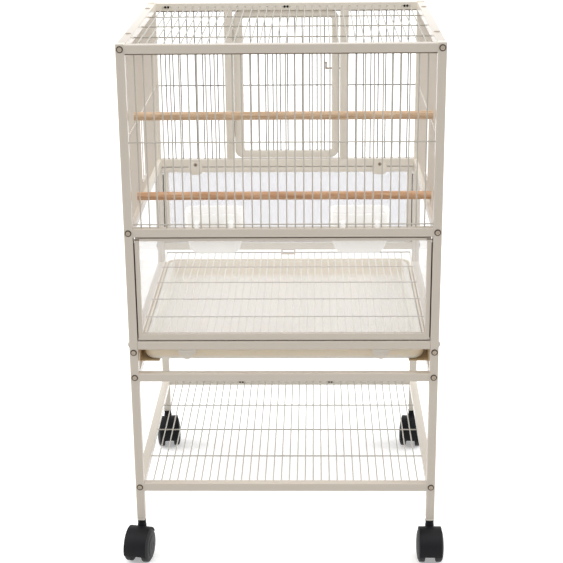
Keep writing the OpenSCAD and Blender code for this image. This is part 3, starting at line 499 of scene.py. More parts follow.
def plate(outline, hole, thickness, edge, steps=6):  # flat ring or plate in xy, from z = 0 upwards
    part = bmesh.new()
    roundedLoop(part, *outline, 0.0, steps=steps)
    if hole:
        roundedLoop(part, *hole, 0.0, steps=steps)
        bmesh.ops.delete(part, geom=part.faces[:], context="FACES_ONLY")
        bmesh.ops.bridge_loops(part, edges=part.edges[:])
    up = bmesh.ops.extrude_face_region(part, geom=part.faces[:], use_keep_orig=True)["geom"]
    raised = [v for v in up if isinstance(v, bmesh.types.BMVert)]
    bmesh.ops.translate(part, vec=(0, 0, thickness), verts=raised)
    bmesh.ops.recalc_face_normals(part, faces=part.faces)
    if edge:
        rims = [e for e in part.edges if len(e.link_faces) == 2 and e.calc_face_angle(0) > rimAngle]
        bmesh.ops.bevel(part, geom=rims, affect="EDGES", offset=edge, segments=2, profile=0.5,
                        material=-1)
    return part


# Welded wire: straight rods, a small upset where two cross, and a fillet of coating where one meets a tube

wire = {"size": 2.5, "step": 2.0, "into": 0.6, "fillet": 1.1, "filletIn": 0.3, "filletSize": 4.2,
        "filletTip": 2.45, "upset": 1.5, "upsetHigh": 1.0}


def weldedWire(mesh, start, end, fillets=(True, True)):
    start, end = Vector(start), Vector(end)
    along = (end - start).normalized()
    rod(mesh, start - wire["into"] * along, end + wire["into"] * along, wire["size"])
    for wanted, at, inward in ((fillets[0], start, along), (fillets[1], end, -along)):
        if wanted:
            rod(mesh, at - wire["filletIn"] * inward, at + wire["fillet"] * inward, wire["filletSize"], 10,
                farSize=wire["filletTip"])


def weldUpset(mesh, at, across):  # squeezed metal between two crossing wires, across their shared normal
    size = Vector([wire["upset"]] * 3)
    size["xyz".index(across)] = wire["upsetHigh"]
    bmesh.ops.create_icosphere(mesh, subdivisions=1, radius=1.0,
                               matrix=Matrix.Translation(at) @ Matrix.Diagonal((*size, 1.0)))


def spaced(low, high, pitch):
    count = max(2, round((high - low) / pitch))
    return [low + i * (high - low) / count for i in range(1, count)]


cage = {"postX": 282.0, "postY": 262.0, "halfW": 274.0, "halfD": 254.0, "tube": 16.0,
        "midTop": 674.0, "topLow": 994.0, "top": 1010.0, "crossZ": 834.0, "pitch": 15.7}

front = {"cupWireZ": 681.0}


def frontGrille(c, f):
    mesh = bmesh.new()
    y, back = -c["postY"], -c["postY"] - wire["step"]
    uprights = spaced(-c["halfW"], c["halfW"], c["pitch"])
    for x in uprights:
        weldedWire(mesh, (x, y, c["midTop"]), (x, y, c["topLow"]))
    for z in (f["cupWireZ"], c["crossZ"]):
        weldedWire(mesh, (-c["halfW"], back, z), (c["halfW"], back, z))
        for x in uprights:
            weldUpset(mesh, (x, y - wire["step"] / 2, z), "y")
    newPiece("frontGrilleWire", mesh, shadedWireCoat, "frame", ["grille_front"])


frontGrille(cage, front)

side = {"gaps": 32, "openingGaps": 2, "sill": 700.0, "head": 836.0, "tuck": 0.6, "past": 2.0,
        "guideX": 286.9, "guideY": 35.25}


def sideGrille(c, s, hand, name, node):
    mesh = bmesh.new()
    pitch = 2 * c["halfD"] / s["gaps"]
    x, inner = hand * c["postX"], hand * (c["postX"] - wire["step"])
    middle = hand * (c["postX"] - wire["step"] / 2)
    sillHalf = s["openingGaps"] * pitch + s["past"]
    for i in range(1 - s["gaps"] // 2, s["gaps"] // 2):
        y = i * pitch
        if abs(i) < s["openingGaps"]:
            weldedWire(mesh, (x, y, c["midTop"]), (x, y, s["sill"] + s["tuck"]), (True, False))
            weldedWire(mesh, (x, y, s["head"] - s["tuck"]), (x, y, c["topLow"]), (False, True))
        else:
            weldedWire(mesh, (x, y, c["midTop"]), (x, y, c["topLow"]))
        weldUpset(mesh, (middle, y, s["head"]), "x")
        if abs(i) <= s["openingGaps"]:
            weldUpset(mesh, (middle, y, s["sill"]), "x")
    weldedWire(mesh, (inner, -c["halfD"], s["head"]), (inner, c["halfD"], s["head"]))
    weldedWire(mesh, (inner, -sillHalf, s["sill"]), (inner, sillHalf, s["sill"]), (False, False))
    for end in (-1, 1):
        weldedWire(mesh, (hand * s["guideX"], end * s["guideY"], c["midTop"]),
                   (hand * s["guideX"], end * s["guideY"], c["topLow"]))
    newPiece(name, mesh, wireCoat, "frame", [node])


sideGrille(cage, side, -1, "leftGrilleWire", "grille_left")
sideGrille(cage, side, 1, "rightGrilleWire", "grille_right")

rear = {"jambOut": 131.5}


def rearGrille(c, r, hand, name, node):
    mesh = bmesh.new()
    y, outer = c["postY"], c["postY"] + wire["step"]
    for x in spaced(r["jambOut"], c["halfW"], c["pitch"]):
        weldedWire(mesh, (hand * x, y, c["midTop"]), (hand * x, y, c["topLow"]))
        weldUpset(mesh, (hand * x, y + wire["step"] / 2, c["crossZ"]), "y")
    weldedWire(mesh, (hand * r["jambOut"], outer, c["crossZ"]), (hand * c["halfW"], outer, c["crossZ"]))
    newPiece(name, mesh, shadedWireCoat, "frame", [node])


rearGrille(cage, rear, -1, "rearLeftGrilleWire", "grille_rear_left")
rearGrille(cage, rear, 1, "rearRightGrilleWire", "grille_rear_right")

deck = {"topZ": 1002.0, "shelfZ": 151.0, "crosses": 4}


def wireDeck(c, d, z, finish, name, node):
    mesh = bmesh.new()
    longs = spaced(-c["halfW"], c["halfW"], c["pitch"])
    for x in longs:
        weldedWire(mesh, (x, -c["halfD"], z), (x, c["halfD"], z))
    for y in spaced(-c["halfD"], c["halfD"], 2 * c["halfD"] / d["crosses"]):
        weldedWire(mesh, (-c["halfW"], y, z - wire["step"]), (c["halfW"], y, z - wire["step"]))
        for x in longs:
            weldUpset(mesh, (x, y, z - wire["step"] / 2), "z")
    newPiece(name, mesh, finish, "frame", [node])


wireDeck(cage, deck, deck["topZ"], shadedDeckWireCoat, "topGrilleWire", "grille_top")
wireDeck(cage, deck, deck["shelfZ"], shadedShelfWireCoat, "shelfWire", "shelf_grid")
print("grilles and decks ready")

# Seams where a rail is welded between two posts, ground low and coated over

seam = {"size": 1.1, "inset": 0.5, "sink": 0.1, "levels": (994.0, 658.0, 373.0, 143.0)}


def railSeams(c, s):
    mesh = bmesh.new()
    half = c["tube"] / 2 - s["inset"]
    for hand in (-1, 1):
        for end in (-1, 1):
            for low in s["levels"]:
                x, y, z = hand * (c["halfW"] - s["sink"]), end * c["postY"], low + c["tube"] / 2
                for a in (-1, 1):
                    rod(mesh, (x, y - half, z + a * half), (x, y + half, z + a * half), s["size"], 8)
                    rod(mesh, (x, y + a * half, z - half), (x, y + a * half, z + half), s["size"], 8)
    newPiece("railSeams", mesh, tubeCoat, "frame")


railSeams(cage, seam)

# Dark strips along the underside of each top rail: painted shade under the rail where the wire ends meet it

slot = {"w": 3.2, "drop": 2.8, "into": 0.2, "clear": 0.4, "edge": 0.3}


def railUnderShade(c, s):
    mesh = bmesh.new()
    low, high, half = c["topLow"] - s["drop"], c["topLow"] + s["into"], s["w"] / 2
    w, d = c["halfW"] - s["clear"], c["halfD"] - s["clear"]
    for end in (-1, 1):
        x, y = end * c["postX"], end * c["postY"]
        block(mesh, (-w, y - half, low), (w, y + half, high), s["edge"])
        block(mesh, (x - half, -d, low), (x + half, d, high), s["edge"])
    newPiece("railUnderShadeStrips", mesh, paintedGapShade, "frame")


railUnderShade(cage, slot)

# Rear pane: clear sheet, coated folded strip along its top, side channels, and a dark strip beside each post
# that is painted shade in the gap

rearPane = {"x": (-273.9, 273.9), "y": (261.0, 263.0), "z": (484.0, 657.9),
            "stripY": (254.1, 263.0), "stripZ": (645.0, 656.0),
            "channelX": (260.0, 270.4), "channelY": (254.7, 261.0), "channelZ": (485.0, 645.0),
            "gapShadeX": (270.6, 272.6), "gapShadeY": (255.1, 257.1), "gapShadeZ": (485.0, 640.0)}


def rearPaneParts(k):
    sheet, strip, gapShade = bmesh.new(), bmesh.new(), bmesh.new()
    sideBlock(sheet, 1, k["x"], k["y"], k["z"], 0.0)
    sideBlock(strip, 1, k["x"], k["stripY"], k["stripZ"], 0.6)
    for hand in (-1, 1):
        sideBlock(strip, hand, k["channelX"], k["channelY"], k["channelZ"], 0.8)
        sideBlock(gapShade, hand, k["gapShadeX"], k["gapShadeY"], k["gapShadeZ"], 0.4)
    newPiece("rearPaneSheet", sheet, clearPane, "frame", ["rear_pane"])
    newPiece("rearPaneStrip", strip, tubeCoat, "frame", ["rear_pane"])
    newPiece("rearPaneGapShade", gapShade, paintedGapShade, "frame", ["rear_pane"])


rearPaneParts(rearPane)

# Dark strips beside and behind each edge of the hatch and a dark plate at each upper corner of it: painted
# shade in the gaps and corners

hatch = {"sideX": (273.4, 274.0), "sideY": (-267.4, -257.6), "sideZ": (457.0, 655.0),
         "backShadeX": (270.8, 274.0), "backShadeY": (-257.7, -256.4), "backShadeZ": (457.0, 644.0),  # clear of the swing
         "cornerShadeX": (262.5, 271.2), "cornerShadeY": (-268.4, -267.6), "cornerShadeZ": (651.8, 654.4)}


def hatchTrim(h):
    lip, cornerShade = bmesh.new(), bmesh.new()
    for hand in (-1, 1):
        sideBlock(lip, hand, h["sideX"], h["sideY"], h["sideZ"], 0.2)
        sideBlock(lip, hand, h["backShadeX"], h["backShadeY"], h["backShadeZ"], 0.3)
        sideBlock(cornerShade, hand, h["cornerShadeX"], h["cornerShadeY"], h["cornerShadeZ"], 0.2)
    newPiece("hatchGapShade", lip, paintedGapShade, "frame")
    newPiece("hatchCornerShade", cornerShade, paintedGapShade, "hatch")


hatchTrim(hatch)

# Jambs of the doorway, with the hinge leaves, their pins and the latch's keeper

door = {"left": -112.5, "right": 110.1, "low": 677.0, "high": 993.0, "y": 257.0, "thick": 12.0,
        "corner": 16.0, "inCorner": 5.0, "hingeStile": 20.0, "latchStile": 14.0, "rail": 15.0,
        "pitch": 15.7, "jambX": 122.5, "jambHalf": 9.0, "jambInto": 0.3,
        "hingeX": -113.0, "hingeY": 274.3, "hinges": (737.0, 933.0), "barrel": 8.0, "barrelL": 16.0,
        "barrelGap": 0.3, "pin": 4.0, "pinL": 33.0, "pinDrop": 0.6, "leafGap": 2.6, "jambLeaf": 12.0,
        "jambLeafY": (269.6, 272.0), "doorLeaf": 15.0, "doorLeafY": (268.6, 271.6),
        "latchY": 274.8, "latchZ": 868.0, "eye": 9.0, "eyeW": 5.0, "eyes": (99.1, 107.1), "lugHalf": 2.0,
        "bolt": 4.0, "boltGap": 0.15, "thumbX": 83.9, "thumbUp": 12.0, "thumbSize": 3.4, "tip": 117.0}


def eyePlate(mesh, x, d, low):  # pierced lug that the latch bolt runs in
    bore, rim, half = d["bolt"] / 2 + d["boltGap"], d["eye"] / 2, d["eyeW"] / 2
    eye = turned([(bore, -half + 0.3), (bore + 0.35, -half), (rim - 0.5, -half), (rim, -half + 0.5),
                  (rim, half - 0.5), (rim - 0.5, half), (bore + 0.35, half), (bore, half - 0.3),
                  (bore, -half + 0.3)], 24)
    stampOnce(mesh, eye, Matrix.Translation((x, d["latchY"], d["latchZ"])) @ toSide)
    block(mesh, (x - half, low, d["latchZ"] - d["lugHalf"]),
          (x + half, d["latchY"] - d["bolt"] / 2 - 0.6, d["latchZ"] + d["lugHalf"]), 0.4)


def hingeBarrel(mesh, d, low):
    r, l = d["barrel"] / 2, d["barrelL"]
    barrel = turned([(0, 0), (r - 0.5, 0), (r, 0.5), (r, l - 0.5), (r - 0.5, l), (0, l)], 24)
    stampOnce(mesh, barrel, Matrix.Translation((d["hingeX"], d["hingeY"], low)))


def doorJambs(c, d):
    mesh, pins = bmesh.new(), bmesh.new()
    half, deep, into = d["jambHalf"], c["tube"] / 2, d["jambInto"]
    for x in (-d["jambX"], d["jambX"]):
        block(mesh, (x - half, c["postY"] - deep, c["midTop"] - into),
              (x + half, c["postY"] + deep, c["topLow"] + into), 1.2, 3)
    r, l = d["pin"] / 2, d["pinL"]
    for z in d["hinges"]:
        low = z - d["barrelL"]
        block(mesh, (d["hingeX"] - d["jambLeaf"], d["jambLeafY"][0], low),
              (d["hingeX"] - d["leafGap"], d["jambLeafY"][1], z), 0.5)
        hingeBarrel(mesh, d, low)
        pin = turned([(0, 0), (r + 1.0, 0), (r + 1.0, 0.5), (r, 1.1), (r, l), (r + 0.6, l + 0.4),
                      (r + 0.4, l + 1.3), (0, l + 1.8)], 20)
        stampOnce(pins, pin, Matrix.Translation((d["hingeX"], d["hingeY"], low - d["pinDrop"])))
    eyePlate(mesh, d["jambX"], d, d["jambLeafY"][0])
    newPiece("doorJambTubes", mesh, tubeCoat, "frame", ["door_jambs"])
    newPiece("hingePins", pins, darkSteel, "frame")


doorJambs(cage, door)


def rearDoor(c, d):
    mesh, wires = bmesh.new(), bmesh.new()
    w, h = d["right"] - d["left"], d["high"] - d["low"]
    cx, cz = (d["left"] + d["right"]) / 2, (d["low"] + d["high"]) / 2
    inLeft, inRight = d["left"] + d["hingeStile"], d["right"] - d["latchStile"]
    hole = (inRight - inLeft, h - 2 * d["rail"], d["inCorner"], ((inLeft + inRight) / 2 - cx, 0))
    doorFrame = plate((w, h, d["corner"], (0, 0)), hole, d["thick"], 1.2, 8)
    stampOnce(mesh, doorFrame, Matrix.Translation((cx, d["y"] + d["thick"], cz)) @ toFront)
    for z in d["hinges"]:
        low = z + d["barrelGap"]
        block(mesh, (d["hingeX"] + d["leafGap"], d["doorLeafY"][0], low),
              (d["hingeX"] + d["doorLeaf"], d["doorLeafY"][1], low + d["barrelL"]), 0.5)
        hingeBarrel(mesh, d, low)
    for x in d["eyes"]:
        eyePlate(mesh, x, d, d["doorLeafY"][0])
    newPiece("rearDoorFrame", mesh, tubeCoat, "rear_door", ["rear_door"])
    plane, crossY = d["y"] + d["thick"] / 2, d["y"] + d["thick"] / 2 + wire["step"]
    for x in spaced(inLeft, inRight, d["pitch"]):
        weldedWire(wires, (x, plane, d["low"] + d["rail"]), (x, plane, d["high"] - d["rail"]))
        weldUpset(wires, (x, plane + wire["step"] / 2, c["crossZ"]), "y")
    weldedWire(wires, (inLeft, crossY, c["crossZ"]), (inRight, crossY, c["crossZ"]))
    newPiece("rearDoorWire", wires, shadedWireCoat, "rear_door", ["rear_door"])


rearDoor(cage, door)


def doorLatch(d):
    mesh = bmesh.new()
    x, y, z = d["thumbX"], d["latchY"], d["latchZ"]
    r, l = d["bolt"] / 2, d["tip"] - x
    bolt = turned([(0, 0), (r, 0), (r, l - 1.2), (r - 1.0, l), (0, l)], 20)
    stampOnce(mesh, bolt, Matrix.Translation((x, y, z)) @ toSide)
    ball(mesh, (x, y, z), r, 16, 10)
    rod(mesh, (x, y, z), (x, y, z + d["thumbUp"]), d["thumbSize"], 16)
    ball(mesh, (x, y, z + d["thumbUp"]), r + 0.5, 16, 10)
    newPiece("latchBolt", mesh, boltSteel, "latch", ["door_latch"])


doorLatch(door)
print("rear door ready")

# Feeder doors: light wire panels whose rings ride on the guide wires

feeder = {"x": 286.9, "y": 35.25, "low": 840.0, "high": 978.0, "bars": 5, "barHalf": 30.75,
          "reach": 2.2, "over": 1.2, "ring": 4.7, "ringWire": 1.3, "turns": 4}


def feederDoor(f, hand, name, node, body):
    mesh = bmesh.new()
    loop = ring(f["ring"], f["ringWire"])
    guide, reach = hand * f["x"], f["y"] - f["reach"]
    for z in (f["low"], f["high"]):
        rod(mesh, (guide, -reach, z), (guide, reach, z), wire["size"])
        for end in (-1, 1):
            for k in range(f["turns"]):
                lift = (k - (f["turns"] - 1) / 2) * f["ringWire"]
                stamp(mesh, loop, Matrix.Translation((guide, end * f["y"], z + lift)))
    loop.free()
    for i in range(f["bars"]):
        y = -f["barHalf"] + i * 2 * f["barHalf"] / (f["bars"] - 1)
        x = hand * (f["x"] + wire["step"])
        rod(mesh, (x, y, f["low"] - f["over"]), (x, y, f["high"] + f["over"]), wire["size"])
        for z in (f["low"], f["high"]):
            weldUpset(mesh, (hand * (f["x"] + wire["step"] / 2), y, z), "x")
    newPiece(name, mesh, wireCoat, body, [node])


feederDoor(feeder, -1, "leftFeederDoorWire", "feeder_door_left", "feeder_door_left")
feederDoor(feeder, 1, "rightFeederDoorWire", "feeder_door_right", "feeder_door_right")

# Tray: thin moulded shell with a soft lower edge and a turned-out lip

tray = {"halfW": 263.5, "front": -246.0, "back": 235.0, "low": 408.4, "top": 454.4, "corner": 22.0,
        "edge": 13.0, "edgeSteps": 6, "lip": 3.0, "wall": 2.0}


def pullOutTray(t):
    mesh = bmesh.new()
    middle = (0.0, (t["front"] + t["back"]) / 2)
    w, d = 2 * t["halfW"], t["back"] - t["front"]
    levels = []
    for i in range(t["edgeSteps"] + 1):
        angle = math.pi / 2 * i / t["edgeSteps"]
        inset = t["edge"] * (1 - math.sin(angle))
        levels.append((w - 2 * inset, d - 2 * inset, t["corner"] - inset, middle,
                       t["low"] + t["edge"] * (1 - math.cos(angle))))
    under = t["top"] - t["wall"]
    for grow, height in ((0.0, under - 1.2), (0.7, under - 0.3), (2.0, under), (2 * t["lip"], under)):
        levels.append((w + grow, d + grow, t["corner"] + grow / 2, middle, height))
    loft(mesh, levels, steps=8)
    newPiece("trayShell", mesh, trayPlastic, "tray", ["tray"], wall=t["wall"])


pullOutTray(tray)

# Flat ledges along the tray's two sides, with the basin's steep walls under them

ledge = {"inner": 250.0, "z": 447.0, "t": 1.6, "clear": 2.4, "ends": 1.6, "inCorner": 4.0,
         "wallLow": 411.0, "wallEnd": 9.0}


def trayLedges(t, k):
    w, d = 2 * (t["halfW"] - k["clear"]), t["back"] - t["front"] - 2 * k["clear"]
    mesh = bmesh.new()
    rim = plate((w, d, t["corner"] - k["clear"], (0, 0)),
                (2 * k["inner"], d - k["ends"], k["inCorner"], (0, 0)), k["t"], 0.0, 8)
    stampOnce(mesh, rim, Matrix.Translation((0, (t["front"] + t["back"]) / 2, k["z"])))
    for hand in (-1, 1):
        sideBlock(mesh, hand, (k["inner"], k["inner"] + k["t"]),
                  (t["front"] + k["wallEnd"], t["back"] - k["wallEnd"]), (k["wallLow"], k["z"] + 0.2), 0.2)
    # the ledges take the paler plastic: painted light
    newPiece("trayLedges", mesh, paleTray, "tray", ["tray"])


trayLedges(tray, ledge)

# Grate of long wires under six cross wires, with a pull loop whose tan colour is painted shade

grate = {"z": 455.95, "crossZ": 458.47, "border": 269.75, "next": 250.35, "pitch": 14.7, "front": -251.0,
         "back": 266.0, "crosses": 6, "loopHalf": 14.0, "loopIn": 246.0, "loopOut": 278.0, "loopZ": 461.35,
         "loopSize": 3.2}


def trayGrate(g):
    mesh, crosses, loop = bmesh.new(), bmesh.new(), bmesh.new()
    half = wire["size"] / 2
    longs = [-g["border"], -g["next"], *spaced(-g["next"], g["next"], g["pitch"]), g["next"], g["border"]]
    for x in longs:
        rod(mesh, (x, g["front"], g["z"]), (x, g["back"], g["z"]), wire["size"])
    newPiece("grateWire", mesh, litGrateWireCoat, "grate", ["grate"])
    reach, z = g["border"] + half, g["crossZ"]
    for i in range(g["crosses"]):
        y = g["front"] + half + i * (g["back"] - g["front"] - 2 * half) / (g["crosses"] - 1)
        rod(crosses, (-reach, y, z), (reach, y, z), wire["size"])
        for x in longs:
            weldUpset(crosses, (x, y, (g["z"] + z) / 2), "z")
    newPiece("grateCrossWire", crosses, shadedGrateCrossCoat, "grate", ["grate"])
    wide, high, thick = g["loopHalf"], g["loopZ"], g["loopSize"]
    for x in (-wide, wide):
        rod(loop, (x, g["loopIn"], high), (x, g["loopOut"], high), thick, 14)
    for y in (g["loopIn"], g["loopOut"]):
        rod(loop, (-wide, y, high), (wide, y, high), thick, 14)
        for x in (-wide, wide):
            ball(loop, (x, y, high), thick / 2, 14, 8)
    newPiece("gratePullLoop", loop, shadedSleeve, "grate", ["grate"])


trayGrate(grate)
print("feeder doors, tray and grate ready")

# Perches: turned dowels whose sawn slots stand over a side wire

perch = {"y": -111.125, "half": 282.5, "size": 16.0, "slot": 3.5, "slotBottom": 280.45,
         "upperZ": 849.0, "lowerZ": 693.0}


def dowel(p, z, finish, name, node):
    mesh = bmesh.new()
    r, l, out = p["size"] / 2, p["slotBottom"], p["half"] - p["slotBottom"]
    body = turned([(0, -l), (r, -l), (r, l), (0, l)], 32)
    stampOnce(mesh, body, Matrix.Translation((0, p["y"], z)) @ toSide)
    cheek = turned([(0, 0), (r, 0), (r, out - 0.8), (r - 0.8, out), (0, out)], 32)
    for keep in (-1, 1):
        half = cheek.copy()
        cutAway(half, (0, keep * p["slot"] / 2, 0), (0, -keep, 0))
        for hand in (-1, 1):
            stamp(mesh, half, Matrix.Translation((hand * (l - 0.05), p["y"], z))
                  @ Matrix.Rotation(hand * math.pi / 2, 4, "Y"))
        half.free()
    cheek.free()
    newPiece(name, mesh, finish, "frame", [node])


dowel(perch, perch["upperZ"], dowelWood, "upperPerchDowel", "perch_upper")
dowel(perch, perch["lowerZ"], redDowelWood, "lowerPerchDowel", "perch_lower")

# Feed cups: thin milky shells with a rolled rim and two hooks over the lowest front wire

cup = {"w": 106.0, "d": 46.0, "low": 624.0, "high": 702.0, "front": -253.5, "wall": 1.6,
       "leftX": -125.26, "rightX": 140.91, "hookW": 8.0, "hookT": 3.0, "hookX": 31.314, "hookLow": 674.5,
       "hookGap": 0.3, "wireY": -264.0, "wireZ": 681.0,
       "levels": ((0.0, 24.0, 11.0), (1.2, 19.0, 12.0), (4.0, 15.0, 12.5), (9.0, 11.5, 12.5),
                  (24.0, 5.0, 12.5), (45.0, 2.2, 13.0), (70.0, 0.4, 13.0), (75.4, 0.2, 13.0))}


def feedCup(u, x, name, node, body):
    mesh = bmesh.new()
    levels = []
    for height, inset, corner in u["levels"]:
        levels.append((u["w"] - 1.3 * inset, u["d"] - inset, corner,
                       (x, u["front"] + (u["d"] - inset) / 2), u["low"] + height))
    top = u["high"]
    centre = (x, u["front"] + u["d"] / 2)
    for grow, height in ((0.5, top - 2.2), (2.2, top - 1.6), (2.4, top - 2.6)):
        levels.append((u["w"] + grow, u["d"] + grow, 13.0 + grow / 2, centre, height))
    loft(mesh, levels, steps=7)
    newPiece(name + "Shell", mesh, cupPlastic, body, [node], wall=u["wall"])
    hooks = bmesh.new()
    thick, half, gap = u["hookT"], wire["size"] / 2, u["hookGap"]
    outer, top = u["wireY"] - half - thick, u["wireZ"] + half + gap + thick
    for hand in (-1, 1):
        low = x + hand * u["hookX"] - u["hookW"] / 2
        block(hooks, (low, outer, top - thick), (low + u["hookW"], u["front"] + 0.8, top), 0.8)
        block(hooks, (low, outer, u["hookLow"]), (low + u["hookW"], outer + thick - gap, top - 0.4), 0.8)
    newPiece(name + "Hooks", hooks, cupPlastic, body, [node])


feedCup(cup, cup["leftX"], "leftCup", "feed_cup_left", "cup_left")
feedCup(cup, cup["rightX"], "rightCup", "feed_cup_right", "cup_right")
print("perches and cups ready")

# Bolts: a dark washer under a low plated head with a hexagon socket

bolt = {"washer": 12.5, "washerT": 0.8, "washerHole": 4.0, "head": 8.6, "headT": 1.6, "crown": 1.9,
        "socket": 3.6, "face": 270.0, "levels": (151.0, 381.0, 432.0, 666.0, 1002.0),
        "side": 290.0, "frontSideZ": 446.0, "rearSideZ": 476.0, "turn": 0.7}


def boltHead(b):
    part = bmesh.new()
    r, low, high = b["head"] / 2, b["washerT"], b["washerT"] + b["headT"]
    inner = r - b["crown"]

    def circle(sides, radius, z, cap=False):
        return bmesh.ops.create_circle(part, segments=sides, radius=radius, cap_ends=cap,
                                       matrix=Matrix.Translation((0, 0, z)))["verts"]

    def bridge(first, second):
        edges = [e for e in part.edges if any(all(v in loop for v in e.verts) for loop in (first, second))]
        bmesh.ops.bridge_loops(part, edges=edges)

    dome = turned([(r - 0.2, low), (r, low + 0.3), (r - 0.3, high - 0.5), (r - 1.2, high - 0.05),
                   (inner, high)], 24)
    stampOnce(part, dome, Matrix.Identity(4))
    rim, mouth = circle(24, inner, high), circle(6, b["socket"] / 2, high)
    bridge(rim, mouth)
    bridge(circle(6, b["socket"] / 2, low + 0.1, True), mouth)
    bmesh.ops.remove_doubles(part, verts=part.verts, dist=0.001)
    return part


def frameBolts(c, b):
    r, hole, t = b["washer"] / 2, b["washerHole"] / 2, b["washerT"]
    washer = turned([(hole, 0), (r - 0.2, 0), (r, 0.2), (r, t - 0.25), (r - 0.3, t), (hole, t)], 32)
    head = boltHead(b)
    washers, heads = bmesh.new(), bmesh.new()
    places = []
    for hand in (-1, 1):
        for end, z in ((-1, b["frontSideZ"]), (1, b["rearSideZ"])):
            facing = Matrix.Rotation(-end * math.pi / 2, 4, "X")
            places += [Matrix.Translation((hand * c["postX"], end * b["face"], level)) @ facing
                       for level in b["levels"]]
            places.append(Matrix.Translation((hand * b["side"], end * c["postY"], z))
                          @ Matrix.Rotation(hand * math.pi / 2, 4, "Y"))
    for i, place in enumerate(places):
        stamp(washers, washer, place)
        stamp(heads, head, place @ Matrix.Rotation(i * b["turn"], 4, "Z"))
    washer.free()
    head.free()
    newPiece("boltWashers", washers, darkSteel, "frame", ["frame_bolts"])
    newPiece("boltHeads", heads, boltSteel, "frame", ["frame_bolts"], outward=False)


frameBolts(cage, bolt)

# Small screws: turn-tab pivots, top screws and the dark pairs in the rear rails

screw = {"tabX": 200.0, "tabY": 251.4, "tabZ": 663.0, "tabSize": 8.0, "tabHigh": 1.6, "shank": 4.0,
         "topY": (-146.0, 178.0), "topSize": 11.0, "topHigh": 1.5,
         "tabRecessShade": (1.55, 0.4, 4.2), "topRecessShade": (1.36, 0.9, 5.4),  # lift, turn and size of the recess
         "pairHalf": 3.0, "pairSize": 5.0, "pairHigh": 1.4, "topPairs": (-250.514, 0.0, 250.514),
         "shelfPairs": (-109.6, 93.94)}


# the dark bars are painted shade of the cross-head recess, laid on the head in place of a cut recess
def crossRecessShade(mesh, place, lift, turn, size):  # cross-head recess, drawn as two thin dark bars
    bar = bmesh.new()
    block(bar, (-size / 2, -size * 0.11, 0), (size / 2, size * 0.11, 0.12))
    place = place @ Matrix.Translation((0, 0, lift)) @ Matrix.Rotation(turn, 4, "Z")
    stamp(mesh, bar, place)
    stampOnce(mesh, bar, place @ Matrix.Rotation(math.pi / 2, 4, "Z"))


def panHead(size, height):
    r = size / 2
    return turned([(0, 0), (r, 0), (r, height * 0.25), (r * 0.93, height * 0.62), (r * 0.7, height * 0.93),
                   (r * 0.4, height), (0, height)], 28)


def panelScrews(c, s, d):
    light, recessShade, dark = bmesh.new(), bmesh.new(), bmesh.new()
    tabHead, topHead = panHead(s["tabSize"], s["tabHigh"]), panHead(s["topSize"], s["topHigh"])
    pairHead = panHead(s["pairSize"], s["pairHigh"])
    for hand in (-1, 1):
        x, z = hand * s["tabX"], s["tabZ"]
        at = Matrix.Translation((x, s["tabY"], z)) @ toFront
        rod(light, (x, c["halfD"], z), (x, s["tabY"] - 0.1, z), s["shank"], 16)
        stamp(light, tabHead, at)
        crossRecessShade(recessShade, at, *s["tabRecessShade"])
        for y in s["topY"]:
            at = Matrix.Translation((hand * c["postX"], y, c["top"]))
            stamp(light, topHead, at)
            crossRecessShade(recessShade, at, *s["topRecessShade"])
    for row, z in ((s["topPairs"], d["topZ"]), (s["shelfPairs"], d["shelfZ"])):
        for x in row:
            for pair in (-s["pairHalf"], s["pairHalf"]):
                stamp(dark, pairHead, Matrix.Translation((x + pair, c["halfD"], z)) @ toFront)
    for part in (tabHead, topHead, pairHead):
        part.free()
    newPiece("screwHeads", light, boltSteel, "frame", ["panel_screws"])
    newPiece("screwRecessShade", recessShade, blackSteelAndShade, "frame", ["panel_screws"])
    newPiece("railScrewPairs", dark, blackSteelAndShade, "frame", ["panel_screws"])


panelScrews(cage, screw, deck)

# Turn tabs, stamped from plate with soft edges

tab = {"w": 30.0, "l": 28.0, "corner": 9.0, "thick": 2.0, "pivot": 5.0, "x": 200.0, "y": 253.7, "z": 663.0}


def turnTab(t, hand, name, node, body):
    mesh = bmesh.new()
    part = plate((t["w"], t["l"], t["corner"], (0, t["pivot"] - t["l"] / 2)), None, t["thick"], 0.5, 7)
    stampOnce(mesh, part, Matrix.Translation((hand * t["x"], t["y"], t["z"])) @ toFront)
    newPiece(name, mesh, tubeCoat, body, [node])


turnTab(tab, -1, "leftTurnTabPlate", "turn_tab_left", "tab_left")
turnTab(tab, 1, "rightTurnTabPlate", "turn_tab_right", "tab_right")

# Moulded ribs across the tray's two stop tongues

stopRib = {"x": 183.0, "y": (-258.2, -256.7), "rows": ((15.5, 434.6, 436.8), (14.0, 430.2, 432.0))}


def stopRibs(s):
    mesh = bmesh.new()
    for hand in (-1, 1):
        for half, low, high in s["rows"]:
            sideBlock(mesh, hand, (s["x"] - half, s["x"] + half), s["y"], (low, high), 0.4)
    # the ribs take the paler plastic: painted highlight
    newPiece("stopTongueRibs", mesh, paleTray, "frame")


stopRibs(stopRib)
print("fasteners and tabs ready")

# Casters: domed twin wheels under a barrel-shaped hood on a collared neck

caster = {"wheelR": 32.5, "trail": 20.0, "hoodIn": 34.0, "hoodOut": 36.35, "hoodHalf": 22.0,
          "hoodFrom": 30.0, "hoodTo": 193.0, "webHalf": 7.0, "webLift": 23.0, "neck": 16.0,
          "neckLow": 62.0, "top": 78.7, "stem": 8.0, "stemL": 28.0, "axle": 5.9, "axleHalf": 8.0,
          "turns": (-11.0, 0.0, 9.0, -8.0)}  # each caster's swing at rest, in degrees


